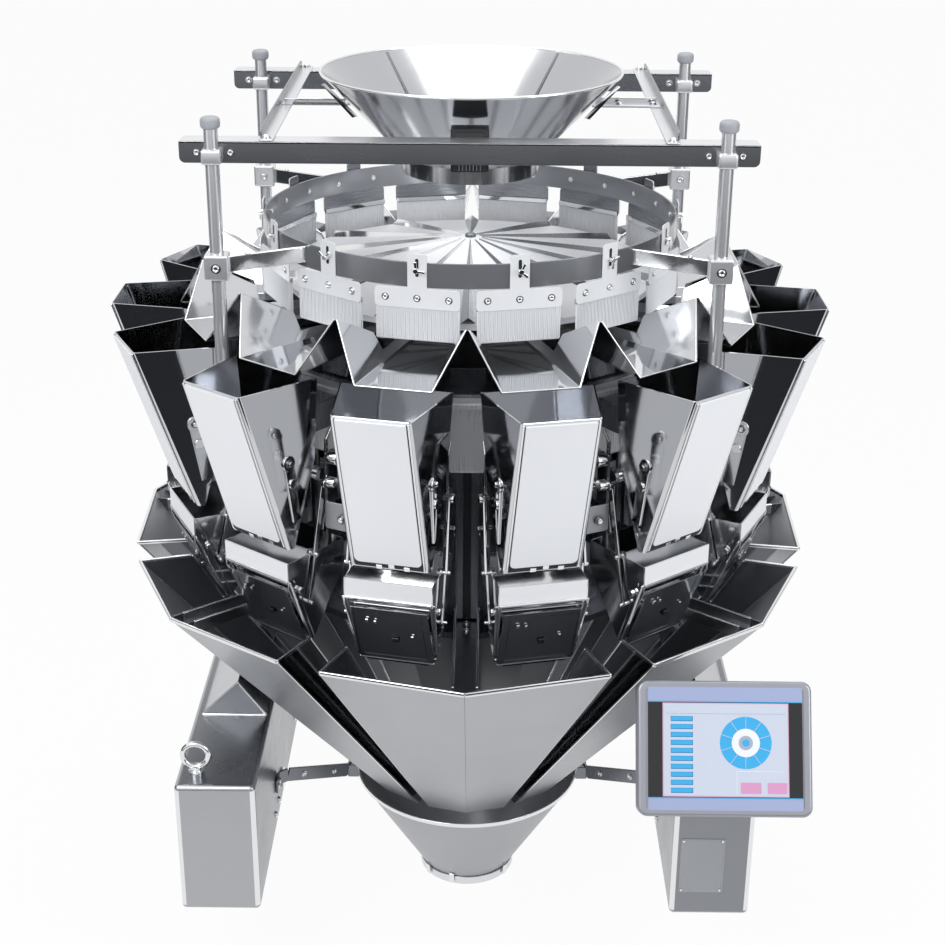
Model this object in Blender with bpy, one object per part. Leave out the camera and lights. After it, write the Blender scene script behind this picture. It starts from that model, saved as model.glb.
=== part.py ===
# Multihead weigher: fourteen weighing heads round a drum, on two base boxes.
# Metres, +Z up. The frame's origin is the centre of the left base box's underside.
# The machine's own axis stands BASE_CENTRE to the right of it.
import math

import bmesh
import bpy
from mathutils import Matrix, Vector

# Fits
GAP = 0.0003
SINK = 0.001
RUNNING_GAP = 0.005

# Heads and chutes
HEADS = 14
HEAD_STEP = 2 * math.pi / HEADS
CHUTES = HEADS // 2
CHUTE_STEP = 2 * math.pi / CHUTES
SHEET = 0.002

# Base boxes
BASE_INNER = 0.326
BASE_OUTER = 0.452
BASE_HALF_DEPTH = 0.3715
BASE_HEIGHT = 0.231
BASE_EDGE = 0.003
BASE_CENTRE = (BASE_INNER + BASE_OUTER) / 2

# Feet and ribs on the base boxes
FOOT_SEAM = 0.012
FOOT_RIDGE_X = 0.378
FOOT_FRONT = 0.160
FOOT_INSET = 0.0365
RIB_HALF = 0.012
RIB_TOP_OUTER = 0.333
RIB_TOP_INNER = 0.262
RIB_BURY = 0.030

# Lifting eyes
EYE_X = 0.420
EYE_INSET = 0.0325
EYE_COLLAR = 0.0125
EYE_COLLAR_HEIGHT = 0.012
EYE_RING = 0.020
EYE_WIRE = 0.005

# Drive housing, the fourteen-sided body under the drum
HOUSING_RADIUS = 0.300
HOUSING_BOTTOM = 0.478
HOUSING_PLATE = 0.010
HOUSING_PLATE_RADIUS = 0.345

# Drum
DRUM_RADIUS = 0.335
DRUM_BOTTOM = 0.745
DRUM_TOP = 0.859
DRUM_FLANGE = 0.350
DRUM_FLANGE_HEIGHT = 0.010
DRUM_SIDES = 42

# Drive units on the housing, one a head
UNIT_HALF = 0.032
UNIT_DEPTH = 0.026
UNIT_BOTTOM = 0.655
UNIT_HEIGHT = 0.070
ROLLER_RADIUS = 0.011
ROLLER_HALF = 0.006
ROLLER_T = 0.024

# Feeders
FEEDER_INNER = 0.225
FEEDER_OUTER = 0.318
FEEDER_HALF = 0.026
FEEDER_BLOCK = 0.046
STEM_HALF = 0.016
DECK_MARGIN = 0.008
DECK_SHEET = 0.005
PAN_FLOOR = 0.9125
PAN_INNER = 0.190
PAN_OUTER = 0.450
PAN_INNER_HALF = 0.026
PAN_OUTER_HALF = 0.0545
PAN_APEX = 0.407
PAN_APEX_HEIGHT = 0.0775
PAN_STEP = 0.333
PAN_STEP_HEIGHT = 0.038
PAN_WALL_LOW = 0.013

# Dispersion cone
CONE_RADIUS = 0.292
CONE_RIM = 0.957
CONE_APEX = 1.008
CONE_RIDGE = 0.005
CONE_HUB = 0.030
CONE_DRIVE_RADIUS = 0.080

# Feed hoppers: radius and height of the outer face, half widths of the mouth
FEED_TOP = 0.910
FEED_BOTTOM = 0.6565
FEED_TOP_RADIUS = 0.560
FEED_BOTTOM_RADIUS = 0.479
FEED_TOP_HALF = 0.054
FEED_BOTTOM_HALF = 0.051
FEED_BACK_RADIUS = 0.433
FEED_BACK_HALF = 0.080
FEED_BACK_BOTTOM = 0.790
FEED_TIP = 0.011

# Weigh hoppers
WEIGH_TOP = 0.640
WEIGH_BOTTOM = 0.4975
WEIGH_RADIUS = 0.489
WEIGH_HALF = 0.065
WEIGH_BOTTOM_HALF = 0.058
WEIGH_BAND = 0.030
WEIGH_BACK_RADIUS = 0.372
WEIGH_BACK_BEND = 0.600
WEIGH_TIP_RADIUS = 0.4415
WEIGH_TIP = 0.008

# Weigh gates
HINGE_RADIUS = 0.468
HINGE_HEIGHT = 0.592
PIN_RADIUS = 0.003
KNUCKLE_INNER = 0.0036
KNUCKLE_OUTER = 0.0056
GATE_SHEET = 0.0015
GATE_HALF = 0.061
GATE_START = -0.0115
GATE_LIP = 0.002

# Hooks that carry the hoppers
HOOK_T = 0.022
HOOK_SHEET = 0.003
FEED_HOOK_LOW = 0.800
FEED_HOOK_HIGH = 0.842
WEIGH_HOOK_LOW = 0.606
WEIGH_HOOK_HIGH = 0.634

# Chutes
CHUTE_TOP = 0.512
CHUTE_BOTTOM = 0.055
CHUTE_TOP_RADIUS = 0.565
CHUTE_BOTTOM_RADIUS = 0.176
CHUTE_CORNER = 0.9708
CHUTE_HALF_ANGLE = math.radians(22.0)
CHUTE_WALL_TOP = 0.085
CHUTE_WALL_BOTTOM = 0.030
ARM_HALF = 0.018
ARM_HEIGHT = 0.020
ARM_SHEET = 0.003

# Discharge cone
DISCHARGE_RIM = 0.045
DISCHARGE_RADIUS = 0.195
DISCHARGE_LIP = 0.004
OUTLET_RADIUS = 0.081
OUTLET_TOP = -0.145
OUTLET_BOTTOM = -0.160
STRAP_SHEET = 0.004
STRAP_HEIGHT = 0.025
STRAP_Y = -0.124
STRAP_Z = 0.078
LUG_HALF = 0.012
LUG_DEPTH = 0.018

# Posts
POST_X = 0.354
POST_Y = 0.280
POST_RADIUS = 0.010
POST_FOOT = 0.800
POST_TOP = 1.233
CAP_RADIUS = 0.0125
CAP_HEIGHT = 0.015
BRACKET_SHEET = 0.010
BRACKET_DROP = 0.045
BRACKET_HALF = 0.012

# Rails, their clamps and the straps across them
RAIL_HALF = 0.402
RAIL_BOTTOM = 1.180
RAIL_TOP = 1.210
RAIL_DEPTH = 0.040
RAIL_SHEET = 0.003
CLAMP_HALF = 0.017
CLAMP_OVER = 0.004
CROSS_X = 0.282
CROSS_HALF = 0.0095
CROSS_UPSTAND = 0.016
FUNNEL_ARM_HALF = 0.015
FUNNEL_ARM_SHEET = 0.004

# Infeed funnel
FUNNEL_RIM = 1.266
FUNNEL_RADIUS = 0.229
FUNNEL_SLOPE = 0.128
SPOUT_RADIUS = 0.105
SPOUT_LENGTH = 0.024
SENSOR_HALF = 0.027
SENSOR_DEPTH = 0.030
SENSOR_BOTTOM = 1.158
SENSOR_TOP = 1.222

# Brush ring with its plates and brushes
RING_RADIUS = 0.320
RING_SHEET = 0.003
RING_BOTTOM = 1.018
RING_TOP = 1.054
RING_ARM_ANGLE = math.radians(47.5)
RING_ARM_BOTTOM = 1.026
RING_ARM_HEIGHT = 0.024
RING_ARM_SHEET = 0.005
TAB_HALF = 0.014
TAB_TOP = 1.067
PLATE_HALF = 0.062
PLATE_BOTTOM = 0.988
PLATE_TOP = 1.0175
BRISTLE_HALF = 0.060
BRISTLE_BOTTOM = 0.9395
BRISTLE_DEPTH = 0.006

# Control panel
PANEL_X = 0.3677
PANEL_Y = -0.5384
PANEL_Z = 0.4142
PANEL_WIDTH = 0.247
PANEL_HEIGHT = 0.190
PANEL_DEPTH = 0.035
PANEL_TILT = math.radians(30)
PANEL_EDGE = 0.006
CHEEK_OFFSET = 0.030
CHEEK_SHEET = 0.004

# Finishes: colour, roughness, metallic
POLISHED = ((0.62, 0.64, 0.67), 0.12, 1.0)
SATIN = ((0.60, 0.62, 0.65), 0.35, 1.0)
DARK_STEEL = ((0.16, 0.17, 0.19), 0.30, 1.0)
LILAC_GREY = ((0.42, 0.44, 0.52), 0.50, 0.0)

HEAD_ANGLES = [(head + 0.5) * HEAD_STEP for head in range(HEADS)]
CHUTE_ANGLES = [chute * CHUTE_STEP for chute in range(CHUTES)]


def clear_scene():
    for obj in list(bpy.data.objects):
        bpy.data.objects.remove(obj, do_unlink=True)


def polar(t, r, z):
    """A point in a head's own frame: t along the rim, r out from the axis, z up."""
    return Vector((t, -r, z))


def on_arc(angle, r, z):
    """A point at an angle from the front, counted towards the right."""
    return Vector((r * math.sin(angle), -r * math.cos(angle), z))


def add_loft(bm, loops):
    """A closed solid through loops of equal length, with a flat face at each end."""
    rows = [[bm.verts.new(point) for point in loop] for loop in loops]
    count = len(rows[0])
    bm.faces.new(rows[0])
    bm.faces.new(rows[-1])
    for low, high in zip(rows, rows[1:]):
        for i in range(count):
            j = (i + 1) % count
            bm.faces.new((low[i], low[j], high[j], high[i]))


def add_prism(bm, outline, push):
    """A closed solid: an outline pushed along a vector."""
    add_loft(bm, [outline, [point + push for point in outline]])


def add_plate(bm, outline, sheet, inside):
    """A flat plate of one thickness, grown towards the point that lies inside."""
    normal = (outline[1] - outline[0]).cross(outline[2] - outline[1]).normalized()
    if normal.dot(inside - outline[0]) < 0:
        normal.negate()
    add_prism(bm, outline, normal * sheet)


def add_box(bm, low, high):
    x0, y0, z0 = low
    x1, y1, z1 = high
    outline = [Vector((x0, y0, z0)), Vector((x1, y0, z0)), Vector((x1, y1, z0)), Vector((x0, y1, z0))]
    add_prism(bm, outline, Vector((0, 0, z1 - z0)))


def add_turned(bm, profile, sides, start=0.0):
    """A solid turned about the machine's axis from a closed profile of (r, z)."""
    columns = []
    centre = {}
    for side in range(sides):
        angle = start + side * 2 * math.pi / sides
        column = []
        for i, (r, z) in enumerate(profile):
            if r == 0:
                if i not in centre:
                    centre[i] = bm.verts.new((0, 0, z))
                column.append(centre[i])
            else:
                column.append(bm.verts.new(on_arc(angle, r, z)))
        columns.append(column)
    for side in range(sides):
        here, there = columns[side], columns[(side + 1) % sides]
        for i in range(len(profile)):
            j = (i + 1) % len(profile)
            corners = [here[i], there[i], there[j], here[j]]
            face = list(dict.fromkeys(corners))
            if len(face) > 2:
                bm.faces.new(face)


def add_collar(bm, centre, bore, outer, low, high):
    """A collar with a round hole up through it."""
    sides = 16
    rows = []
    for side in range(sides):
        angle = side * 2 * math.pi / sides
        out = Vector((math.cos(angle), math.sin(angle), 0))
        at = Vector((centre[0], centre[1], 0))
        row = []
        for radius, z in ((bore, low), (outer, low), (outer, high), (bore, high)):
            row.append(bm.verts.new(at + out * radius + Vector((0, 0, z))))
        rows.append(row)
    for side in range(sides):
        here, there = rows[side], rows[(side + 1) % sides]
        for i in range(4):
            j = (i + 1) % 4
            bm.faces.new((here[i], there[i], there[j], here[j]))


def add_rod(bm, start, end, radius, sides=12):
    """A round rod between two points."""
    along = (end - start).normalized()
    side = along.orthogonal().normalized()
    up = along.cross(side)
    loop = []
    for i in range(sides):
        angle = i * 2 * math.pi / sides
        loop.append(start + (side * math.cos(angle) + up * math.sin(angle)) * radius)
    add_prism(bm, loop, end - start)


def repeat_round(bm, angles):
    """Repeat all that the mesh holds at each angle about the machine's axis."""
    source = bm.verts[:] + bm.edges[:] + bm.faces[:]
    first = bm.verts[:]
    for angle in angles[1:]:
        made = bmesh.ops.duplicate(bm, geom=source)["geom"]
        verts = [item for item in made if isinstance(item, bmesh.types.BMVert)]
        bmesh.ops.rotate(bm, verts=verts, cent=(0, 0, 0), matrix=Matrix.Rotation(angle, 3, "Z"))
    bmesh.ops.rotate(bm, verts=first, cent=(0, 0, 0), matrix=Matrix.Rotation(angles[0], 3, "Z"))


def mirror_sides(bm):
    """Repeat all that the mesh holds on the other side of the machine's middle plane."""
    source = bm.verts[:] + bm.edges[:] + bm.faces[:]
    made = bmesh.ops.duplicate(bm, geom=source)["geom"]
    for item in made:
        if isinstance(item, bmesh.types.BMVert):
            item.co.x = -item.co.x


def make_material(name, finish):
    colour, roughness, metallic = finish
    material = bpy.data.materials.new(name)
    material.use_nodes = True
    shader = material.node_tree.nodes["Principled BSDF"]
    shader.inputs["Base Color"].default_value = (*colour, 1)
    shader.inputs["Roughness"].default_value = roughness
    shader.inputs["Metallic"].default_value = metallic
    return material


def make_mesh(name, bm, smooth=False):
    bmesh.ops.recalc_face_normals(bm, faces=bm.faces)
    mesh = bpy.data.meshes.new(name)
    bm.to_mesh(mesh)
    bm.free()
    if smooth:
        mesh.shade_smooth()
        mesh.set_sharp_from_angle(angle=math.radians(35))
    return mesh


def make_bases(axis):
    """Base boxes with their lifting eyes, and the welded leg that stands on each."""
    for name, side in (("base_left", -1), ("base_right", 1)):
        box, eyes, foot, ribs = bmesh.new(), bmesh.new(), bmesh.new(), bmesh.new()
        inner, outer = sorted((side * BASE_INNER, side * BASE_OUTER))
        low, high = (inner, -BASE_HALF_DEPTH, 0), (outer, BASE_HALF_DEPTH, BASE_HEIGHT)
        add_chamfered_box(box, low, high, BASE_EDGE)
        for end in (-1, 1):
            at = Vector((side * EYE_X, end * (BASE_HALF_DEPTH - EYE_INSET), BASE_HEIGHT))
            top = at + Vector((0, 0, EYE_COLLAR_HEIGHT))
            add_rod(eyes, at - Vector((0, 0, SINK)), top, EYE_COLLAR, 16)
            add_eye(eyes, top + Vector((0, 0, EYE_RING + EYE_WIRE - SINK)))
        outline = [
            Vector((side * (BASE_OUTER - FOOT_SEAM), -FOOT_FRONT, BASE_HEIGHT - SINK)),
            Vector((side * FOOT_RIDGE_X, -FOOT_FRONT, foot_ridge())),
            Vector((side * (BASE_INNER + FOOT_SEAM / 2), -FOOT_FRONT, BASE_HEIGHT - SINK)),
        ]
        add_prism(foot, outline, Vector((0, FOOT_FRONT + BASE_HALF_DEPTH - FOOT_INSET, 0)))
        for angle in (1.5 * CHUTE_STEP, 2.5 * CHUTE_STEP):
            add_rib(ribs, angle, side)
        place_mesh(name, weld(name, box, [eyes, foot, ribs]), SATIN, axis)


def add_rib(bm, angle, side):
    """A rib from the foot's ridge up through a gap between two chutes to the housing."""
    seat = FOOT_RIDGE_X / math.sin(angle)
    ridge = foot_ridge()
    top = HOUSING_BOTTOM - GAP
    outline = [
        polar(-RIB_HALF, seat, ridge - RIB_HALF),
        polar(-RIB_HALF, RIB_TOP_OUTER, top),
        polar(-RIB_HALF, RIB_TOP_INNER, top),
        polar(-RIB_HALF, min(seat - RIB_BURY, RIB_TOP_OUTER), ridge - RIB_HALF),
        polar(-RIB_HALF, seat - RIB_HALF, ridge - RIB_BURY),
    ]
    turn = Matrix.Rotation(angle * side, 3, "Z")
    add_prism(bm, [turn @ point for point in outline], turn @ Vector((2 * RIB_HALF, 0, 0)))


def add_eye(bm, centre):
    """A ring of round wire standing in the plane of x and z."""
    rings, wires = 12, 6
    rows = []
    for ring in range(rings):
        angle = ring * 2 * math.pi / rings
        out = Vector((math.cos(angle), 0, math.sin(angle)))
        row = []
        for wire in range(wires):
            around = wire * 2 * math.pi / wires
            reach = EYE_RING + EYE_WIRE * math.cos(around)
            row.append(bm.verts.new(centre + out * reach + Vector((0, EYE_WIRE * math.sin(around), 0))))
        rows.append(row)
    for ring in range(rings):
        here, there = rows[ring], rows[(ring + 1) % rings]
        for wire in range(wires):
            after = (wire + 1) % wires
            bm.faces.new((here[wire], there[wire], there[after], here[after]))


def make_housing(axis):
    """The fourteen-sided body with its drive units, and the arms that carry the chutes."""
    bm = bmesh.new()
    plate_top = HOUSING_BOTTOM + HOUSING_PLATE
    profile = [
        (0, HOUSING_BOTTOM),
        (HOUSING_PLATE_RADIUS, HOUSING_BOTTOM),
        (HOUSING_PLATE_RADIUS, plate_top),
        (HOUSING_RADIUS, plate_top),
        (HOUSING_RADIUS, DRUM_BOTTOM - GAP),
        (0, DRUM_BOTTOM - GAP),
    ]
    add_turned(bm, profile, HEADS)
    units, arms = bmesh.new(), bmesh.new()
    add_drive_unit(units)
    repeat_round(units, HEAD_ANGLES)
    add_chute_arm(arms)
    repeat_round(arms, CHUTE_ANGLES)
    place_mesh("drive_housing", weld("drive_housing", bm, [units, arms]), DARK_STEEL, axis)


def make_drum(axis):
    """The polished drum with the brackets that the four posts stand on."""
    bm = bmesh.new()
    neck = DRUM_TOP - DRUM_FLANGE_HEIGHT
    chamfer = SHEET * 2
    profile = [
        (0, DRUM_BOTTOM),
        (DRUM_RADIUS - chamfer, DRUM_BOTTOM),
        (DRUM_RADIUS, DRUM_BOTTOM + chamfer),
        (DRUM_RADIUS, neck - SHEET),
        (DRUM_FLANGE, neck),
        (DRUM_FLANGE, DRUM_TOP),
        (0, DRUM_TOP),
    ]
    add_turned(bm, profile, DRUM_SIDES)
    brackets = bmesh.new()
    ring = math.hypot(POST_X, POST_Y)
    high = POST_FOOT - GAP
    near = DRUM_RADIUS - SHEET
    outline = [
        (near, high - BRACKET_DROP),
        (near + BRACKET_SHEET, high - BRACKET_DROP),
        (ring - POST_RADIUS, high - BRACKET_SHEET),
        (ring + BRACKET_HALF, high - BRACKET_SHEET),
        (ring + BRACKET_HALF, high),
        (near, high),
    ]
    for place in post_places():
        add_radial_plate(brackets, place, outline, BRACKET_HALF)
    place_mesh("drum", weld("drum", bm, [brackets]), POLISHED, axis, smooth=True)


def flat_radius(radius, sides):
    """Distance from the machine's axis to a flat of a body with that many sides."""
    return radius * math.cos(math.pi / sides)


def pan_half(r):
    """Half width of a pan's floor at a radius."""
    share = (r - PAN_INNER) / (PAN_OUTER - PAN_INNER)
    return PAN_INNER_HALF + share * (PAN_OUTER_HALF - PAN_INNER_HALF)


def wall_point(r, height):
    """A point on the inner face of a pan's wall, flared to meet its neighbour's at the apex."""
    reach = PAN_APEX * math.tan(HEAD_STEP / 2) - SHEET
    t = pan_half(r) + (reach - pan_half(PAN_APEX)) * height / PAN_APEX_HEIGHT
    return polar(t - SHEET / 2, r, PAN_FLOOR + height)


def make_dispersion_cone(axis):
    """A low ribbed cone that spreads the product, on its own vibrator."""
    bm = bmesh.new()
    slope = (CONE_APEX - CONE_RIM) / CONE_RADIUS
    steps = 2 * HEADS
    hub_z = CONE_APEX - CONE_HUB * slope
    rows = [[], [], [], []]
    for step in range(steps):
        angle = step * HEAD_STEP / 2
        ridge = CONE_RIDGE if step % 2 == 0 else 0
        rim = CONE_RIM + ridge
        places = [(CONE_HUB, hub_z), (CONE_RADIUS, rim)]
        places += [(CONE_RADIUS, rim - SHEET), (CONE_HUB, hub_z - SHEET)]
        for row, (r, z) in zip(rows, places):
            row.append(bm.verts.new(on_arc(angle, r, z)))
    apex = bm.verts.new((0, 0, CONE_APEX))
    under = bm.verts.new((0, 0, CONE_APEX - SHEET))
    for i in range(steps):
        j = (i + 1) % steps
        bm.faces.new((apex, rows[0][i], rows[0][j]))
        bm.faces.new((under, rows[3][j], rows[3][i]))
        for near, far in zip(rows, rows[1:]):
            bm.faces.new((near[i], far[i], far[j], near[j]))
    drive = bmesh.new()
    low = DRUM_TOP + GAP
    edge = CONE_APEX - CONE_DRIVE_RADIUS * slope - SHEET * 2
    profile = [
        (0, low),
        (CONE_DRIVE_RADIUS, low),
        (CONE_DRIVE_RADIUS, edge),
        (CONE_HUB, edge + SHEET),
        (0, edge + SHEET),
    ]
    add_turned(drive, profile, steps)
    neck = bmesh.new()
    add_rod(neck, Vector((0, 0, edge)), Vector((0, 0, CONE_APEX - SHEET / 2)), CONE_HUB / 2)
    place_mesh("dispersion_cone", weld("dispersion_cone", bm, [drive, neck]), POLISHED, axis)


def feed_half(r, z):
    """Half width of the feed hopper's tapered side at a radius and height."""
    flare = (FEED_BACK_HALF - FEED_TOP_HALF) / (FEED_TOP_RADIUS - FEED_BACK_RADIUS)
    at_bottom = FEED_TOP_HALF + flare * (FEED_TOP_RADIUS - FEED_BOTTOM_RADIUS)
    fall = (at_bottom - FEED_BOTTOM_HALF) / (FEED_TOP - FEED_BOTTOM)
    return FEED_TOP_HALF + flare * (FEED_TOP_RADIUS - r) - fall * (FEED_TOP - z)


def feed_outer(z):
    """Radius of the feed hopper's outer face at a height."""
    share = (z - FEED_BOTTOM) / (FEED_TOP - FEED_BOTTOM)
    return FEED_BOTTOM_RADIUS + share * (FEED_TOP_RADIUS - FEED_BOTTOM_RADIUS)


def make_feed_hoppers(axis):
    """Feed hoppers: folded buckets, wider at the back, with the gate closed below."""
    bm = bmesh.new()
    tip = FEED_BOTTOM_RADIUS - FEED_TIP
    stations = [
        (FEED_BOTTOM, tip),
        (FEED_BACK_BOTTOM, FEED_BACK_RADIUS),
        (FEED_TOP, FEED_BACK_RADIUS),
    ]
    loops = [feed_loop(z, feed_outer(z), back, 0.0) for z, back in stations]
    floor = stations[0][0] + SHEET
    inner = [(floor, tip), *stations[1:]]
    loops += [feed_loop(z, feed_outer(z), back, SHEET) for z, back in reversed(inner)]
    add_loft(bm, loops)
    hooks = bmesh.new()
    seat = flat_radius(DRUM_RADIUS, DRUM_SIDES) + GAP
    add_hooks(hooks, FEED_HOOK_LOW, FEED_HOOK_HIGH, seat, FEED_BACK_RADIUS + SINK)
    mesh = weld("feed_hopper", bm, [hooks])
    for head, angle in enumerate(HEAD_ANGLES):
        place_mesh(f"feed_hopper_{head + 1:02d}", mesh.copy(), SATIN, axis, angle)


def weigh_half(z):
    share = (z - WEIGH_BOTTOM) / (WEIGH_TOP - WEIGH_BOTTOM)
    return WEIGH_BOTTOM_HALF + share * (WEIGH_HALF - WEIGH_BOTTOM_HALF)


def weigh_point(r, z, inset=0.0):
    return polar(weigh_half(z) - inset, r, z)


def make_weigh_hoppers(axis):
    """Weigh hoppers: an upright band, two V-shaped sides, a bent back and the gate's pin."""
    band_low = WEIGH_TOP - WEIGH_BAND
    sides = bmesh.new()
    edge = WEIGH_RADIUS - SINK / 2
    side = [
        (edge, WEIGH_TOP),
        (edge, band_low - SHEET),
        (WEIGH_TIP_RADIUS, WEIGH_BOTTOM),
        (WEIGH_TIP_RADIUS - WEIGH_TIP, WEIGH_BOTTOM),
        (WEIGH_BACK_RADIUS, WEIGH_BACK_BEND),
        (WEIGH_BACK_RADIUS, WEIGH_TOP),
    ]
    inside = polar(0, WEIGH_BACK_RADIUS, WEIGH_TOP)
    add_plate(sides, [weigh_point(r, z) for r, z in side], SHEET, inside)
    mirror_sides(sides)

    plates = bmesh.new()
    lap = SINK / 2
    band = [weigh_point(WEIGH_RADIUS, band_low, lap), weigh_point(WEIGH_RADIUS, WEIGH_TOP - lap, lap)]
    add_prism(plates, mirrored(band), polar(0, -SHEET, 0))

    back = WEIGH_BACK_RADIUS + lap
    upright = [weigh_point(back, WEIGH_BACK_BEND - lap, lap), weigh_point(back, WEIGH_TOP - lap, lap)]
    add_prism(plates, mirrored(upright), polar(0, SHEET, 0))

    slopes = bmesh.new()
    tip = WEIGH_TIP_RADIUS - WEIGH_TIP + lap
    slope = [weigh_point(tip, WEIGH_BOTTOM + lap, lap), weigh_point(back, WEIGH_BACK_BEND, lap)]
    add_plate(slopes, mirrored(slope), SHEET, Vector((0, -WEIGH_RADIUS, WEIGH_TOP)))

    fittings = bmesh.new()
    reach = weigh_half(HINGE_HEIGHT) - SHEET / 2
    hinge = polar(0, HINGE_RADIUS, HINGE_HEIGHT)
    add_rod(fittings, hinge - polar(reach, 0, 0), hinge + polar(reach, 0, 0), PIN_RADIUS)
    seat = flat_radius(HOUSING_RADIUS, HEADS) + GAP
    add_hooks(fittings, WEIGH_HOOK_LOW, WEIGH_HOOK_HIGH, seat, back + SINK)
    mesh = weld("weigh_hopper", sides, [plates, slopes, fittings])
    for head, angle in enumerate(HEAD_ANGLES):
        place_mesh(f"weigh_hopper_{head + 1:02d}", mesh.copy(), POLISHED, axis, angle)


def knuckle_profile():
    """The gate's top edge, rolled three quarters of the way round its pin."""
    steps = 9
    start, end = math.radians(-30), math.radians(230)
    outer, inner = [], []
    for step in range(steps + 1):
        angle = start + (end - start) * step / steps
        out = Vector((math.cos(angle), math.sin(angle)))
        outer.append(out * KNUCKLE_OUTER)
        inner.append(out * KNUCKLE_INNER)
    return outer, inner


def gate_line():
    """Direction down the closed gate and its outward normal, in (r, z)."""
    top = Vector((WEIGH_RADIUS - SHEET - GAP, WEIGH_TOP - WEIGH_BAND - SHEET))
    tip = Vector((WEIGH_TIP_RADIUS, WEIGH_BOTTOM))
    down = (tip - top).normalized()
    return top, down, Vector((-down.y, down.x)), (tip - top).length


def make_gate_mesh():
    """The gate in its hinge's frame: knuckle, web and the flat that closes the hopper."""
    top, down, out, length = gate_line()
    hinge = Vector((HINGE_RADIUS, HINGE_HEIGHT))
    face = top - hinge + out * RUNNING_GAP
    start = down * GATE_START + out * face.dot(out)
    end = face + down * (length + GATE_LIP)
    sheet = out * GATE_SHEET
    wall = out * (KNUCKLE_INNER + KNUCKLE_OUTER) / 2
    foot = out * face.dot(out) + sheet / 2
    side = down * GATE_SHEET
    outer, inner = knuckle_profile()
    plate = [start, end, end + sheet, start + sheet]
    web = [wall - side, foot - side, foot + side, wall + side]
    half = min(GATE_HALF, weigh_half(HINGE_HEIGHT) - SHEET - RUNNING_GAP)
    solids = []
    for loop in (plate, web, inner + list(reversed(outer))):
        bm = bmesh.new()
        add_prism(bm, [Vector((-half, -r, z)) for r, z in loop], Vector((2 * half, 0, 0)))
        solids.append(bm)
    return weld("weigh_gate", solids[0], solids[1:])


def make_weigh_gates(axis):
    """Fourteen outward-opening gates, each hung on its own pin."""
    mesh = make_gate_mesh()
    for head, angle in enumerate(HEAD_ANGLES):
        gate = place_mesh(f"weigh_gate_{head + 1:02d}", mesh.copy(), POLISHED, axis, angle)
        gate.location = on_arc(angle, HINGE_RADIUS, HINGE_HEIGHT)


def chute_radius(z):
    """Radius of a chute's middle fold at a height."""
    share = (z - CHUTE_BOTTOM) / (CHUTE_TOP - CHUTE_BOTTOM)
    return CHUTE_BOTTOM_RADIUS + share * (CHUTE_TOP_RADIUS - CHUTE_BOTTOM_RADIUS)


def chute_inner(t, z):
    """Radius of the chute's inner face at a distance along the rim and a height."""
    lean, across = chute_lean()
    return chute_radius(z) - lean * abs(t) - across


def make_chutes(axis):
    """Seven double chutes, each one sheet folded at its middle and at its two sides."""
    for chute, angle in enumerate(CHUTE_ANGLES):
        bm = bmesh.new()
        add_loft(bm, [chute_loop(CHUTE_BOTTOM), chute_loop(CHUTE_TOP)])
        name = f"chute_{chute + 1}"
        place_mesh(name, make_mesh(name, bm), SATIN, axis, angle)


def discharge_outer(z):
    """Radius of the discharge cone's outer face at a height."""
    share = (z - OUTLET_TOP) / (DISCHARGE_RIM - OUTLET_TOP)
    return OUTLET_RADIUS + share * (DISCHARGE_RADIUS - OUTLET_RADIUS)


def make_discharge_cone(axis):
    """The discharge cone with its outlet ring, and the straps that hold it to the bases."""
    bm = bmesh.new()
    profile = [
        (OUTLET_RADIUS, OUTLET_BOTTOM),
        (OUTLET_RADIUS, OUTLET_TOP),
        (DISCHARGE_RADIUS, DISCHARGE_RIM - DISCHARGE_LIP),
        (DISCHARGE_RADIUS, DISCHARGE_RIM),
        (DISCHARGE_RADIUS - SHEET, DISCHARGE_RIM),
        (DISCHARGE_RADIUS - SHEET, DISCHARGE_RIM - DISCHARGE_LIP),
        (OUTLET_RADIUS - SHEET, OUTLET_TOP),
        (OUTLET_RADIUS - SHEET, OUTLET_BOTTOM),
    ]
    add_turned(bm, profile, 48)
    lugs, straps = bmesh.new(), bmesh.new()
    top = DISCHARGE_RIM - DISCHARGE_LIP
    low = top - STRAP_HEIGHT
    slope = (DISCHARGE_RADIUS - OUTLET_RADIUS) / (top - OUTLET_TOP)
    seat_top = DISCHARGE_RADIUS - SHEET / 2
    face = DISCHARGE_RADIUS + LUG_DEPTH
    lug = [
        Vector((seat_top - STRAP_HEIGHT * slope, -LUG_HALF, low)),
        Vector((face, -LUG_HALF, low)),
        Vector((face, -LUG_HALF, top)),
        Vector((seat_top, -LUG_HALF, top)),
    ]
    add_prism(lugs, lug, Vector((0, 2 * LUG_HALF, 0)))
    end = BASE_INNER - STRAP_SHEET - GAP
    base = STRAP_Z - STRAP_HEIGHT / 2
    stations = [
        (face - SINK, LUG_HALF, low),
        (face - SINK, -LUG_HALF, low),
        (end - STRAP_SHEET * 3, STRAP_Y + LUG_HALF * 2, base),
        (end, STRAP_Y + LUG_HALF, base),
        (end, STRAP_Y - LUG_HALF, base),
    ]
    loops = []
    for x, y, z in stations:
        near = Vector((x, y, z))
        far = near + Vector((STRAP_SHEET, 0, 0))
        rise = Vector((0, 0, STRAP_HEIGHT))
        loops.append([near, far, far + rise, near + rise])
    add_loft(straps, loops)
    mirror_sides(lugs)
    mirror_sides(straps)
    place_mesh("discharge_cone", weld("discharge_cone", bm, [lugs, straps]), SATIN, axis, smooth=True)


def post_places():
    return [(x * POST_X, y * POST_Y) for x in (-1, 1) for y in (-1, 1)]


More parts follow.
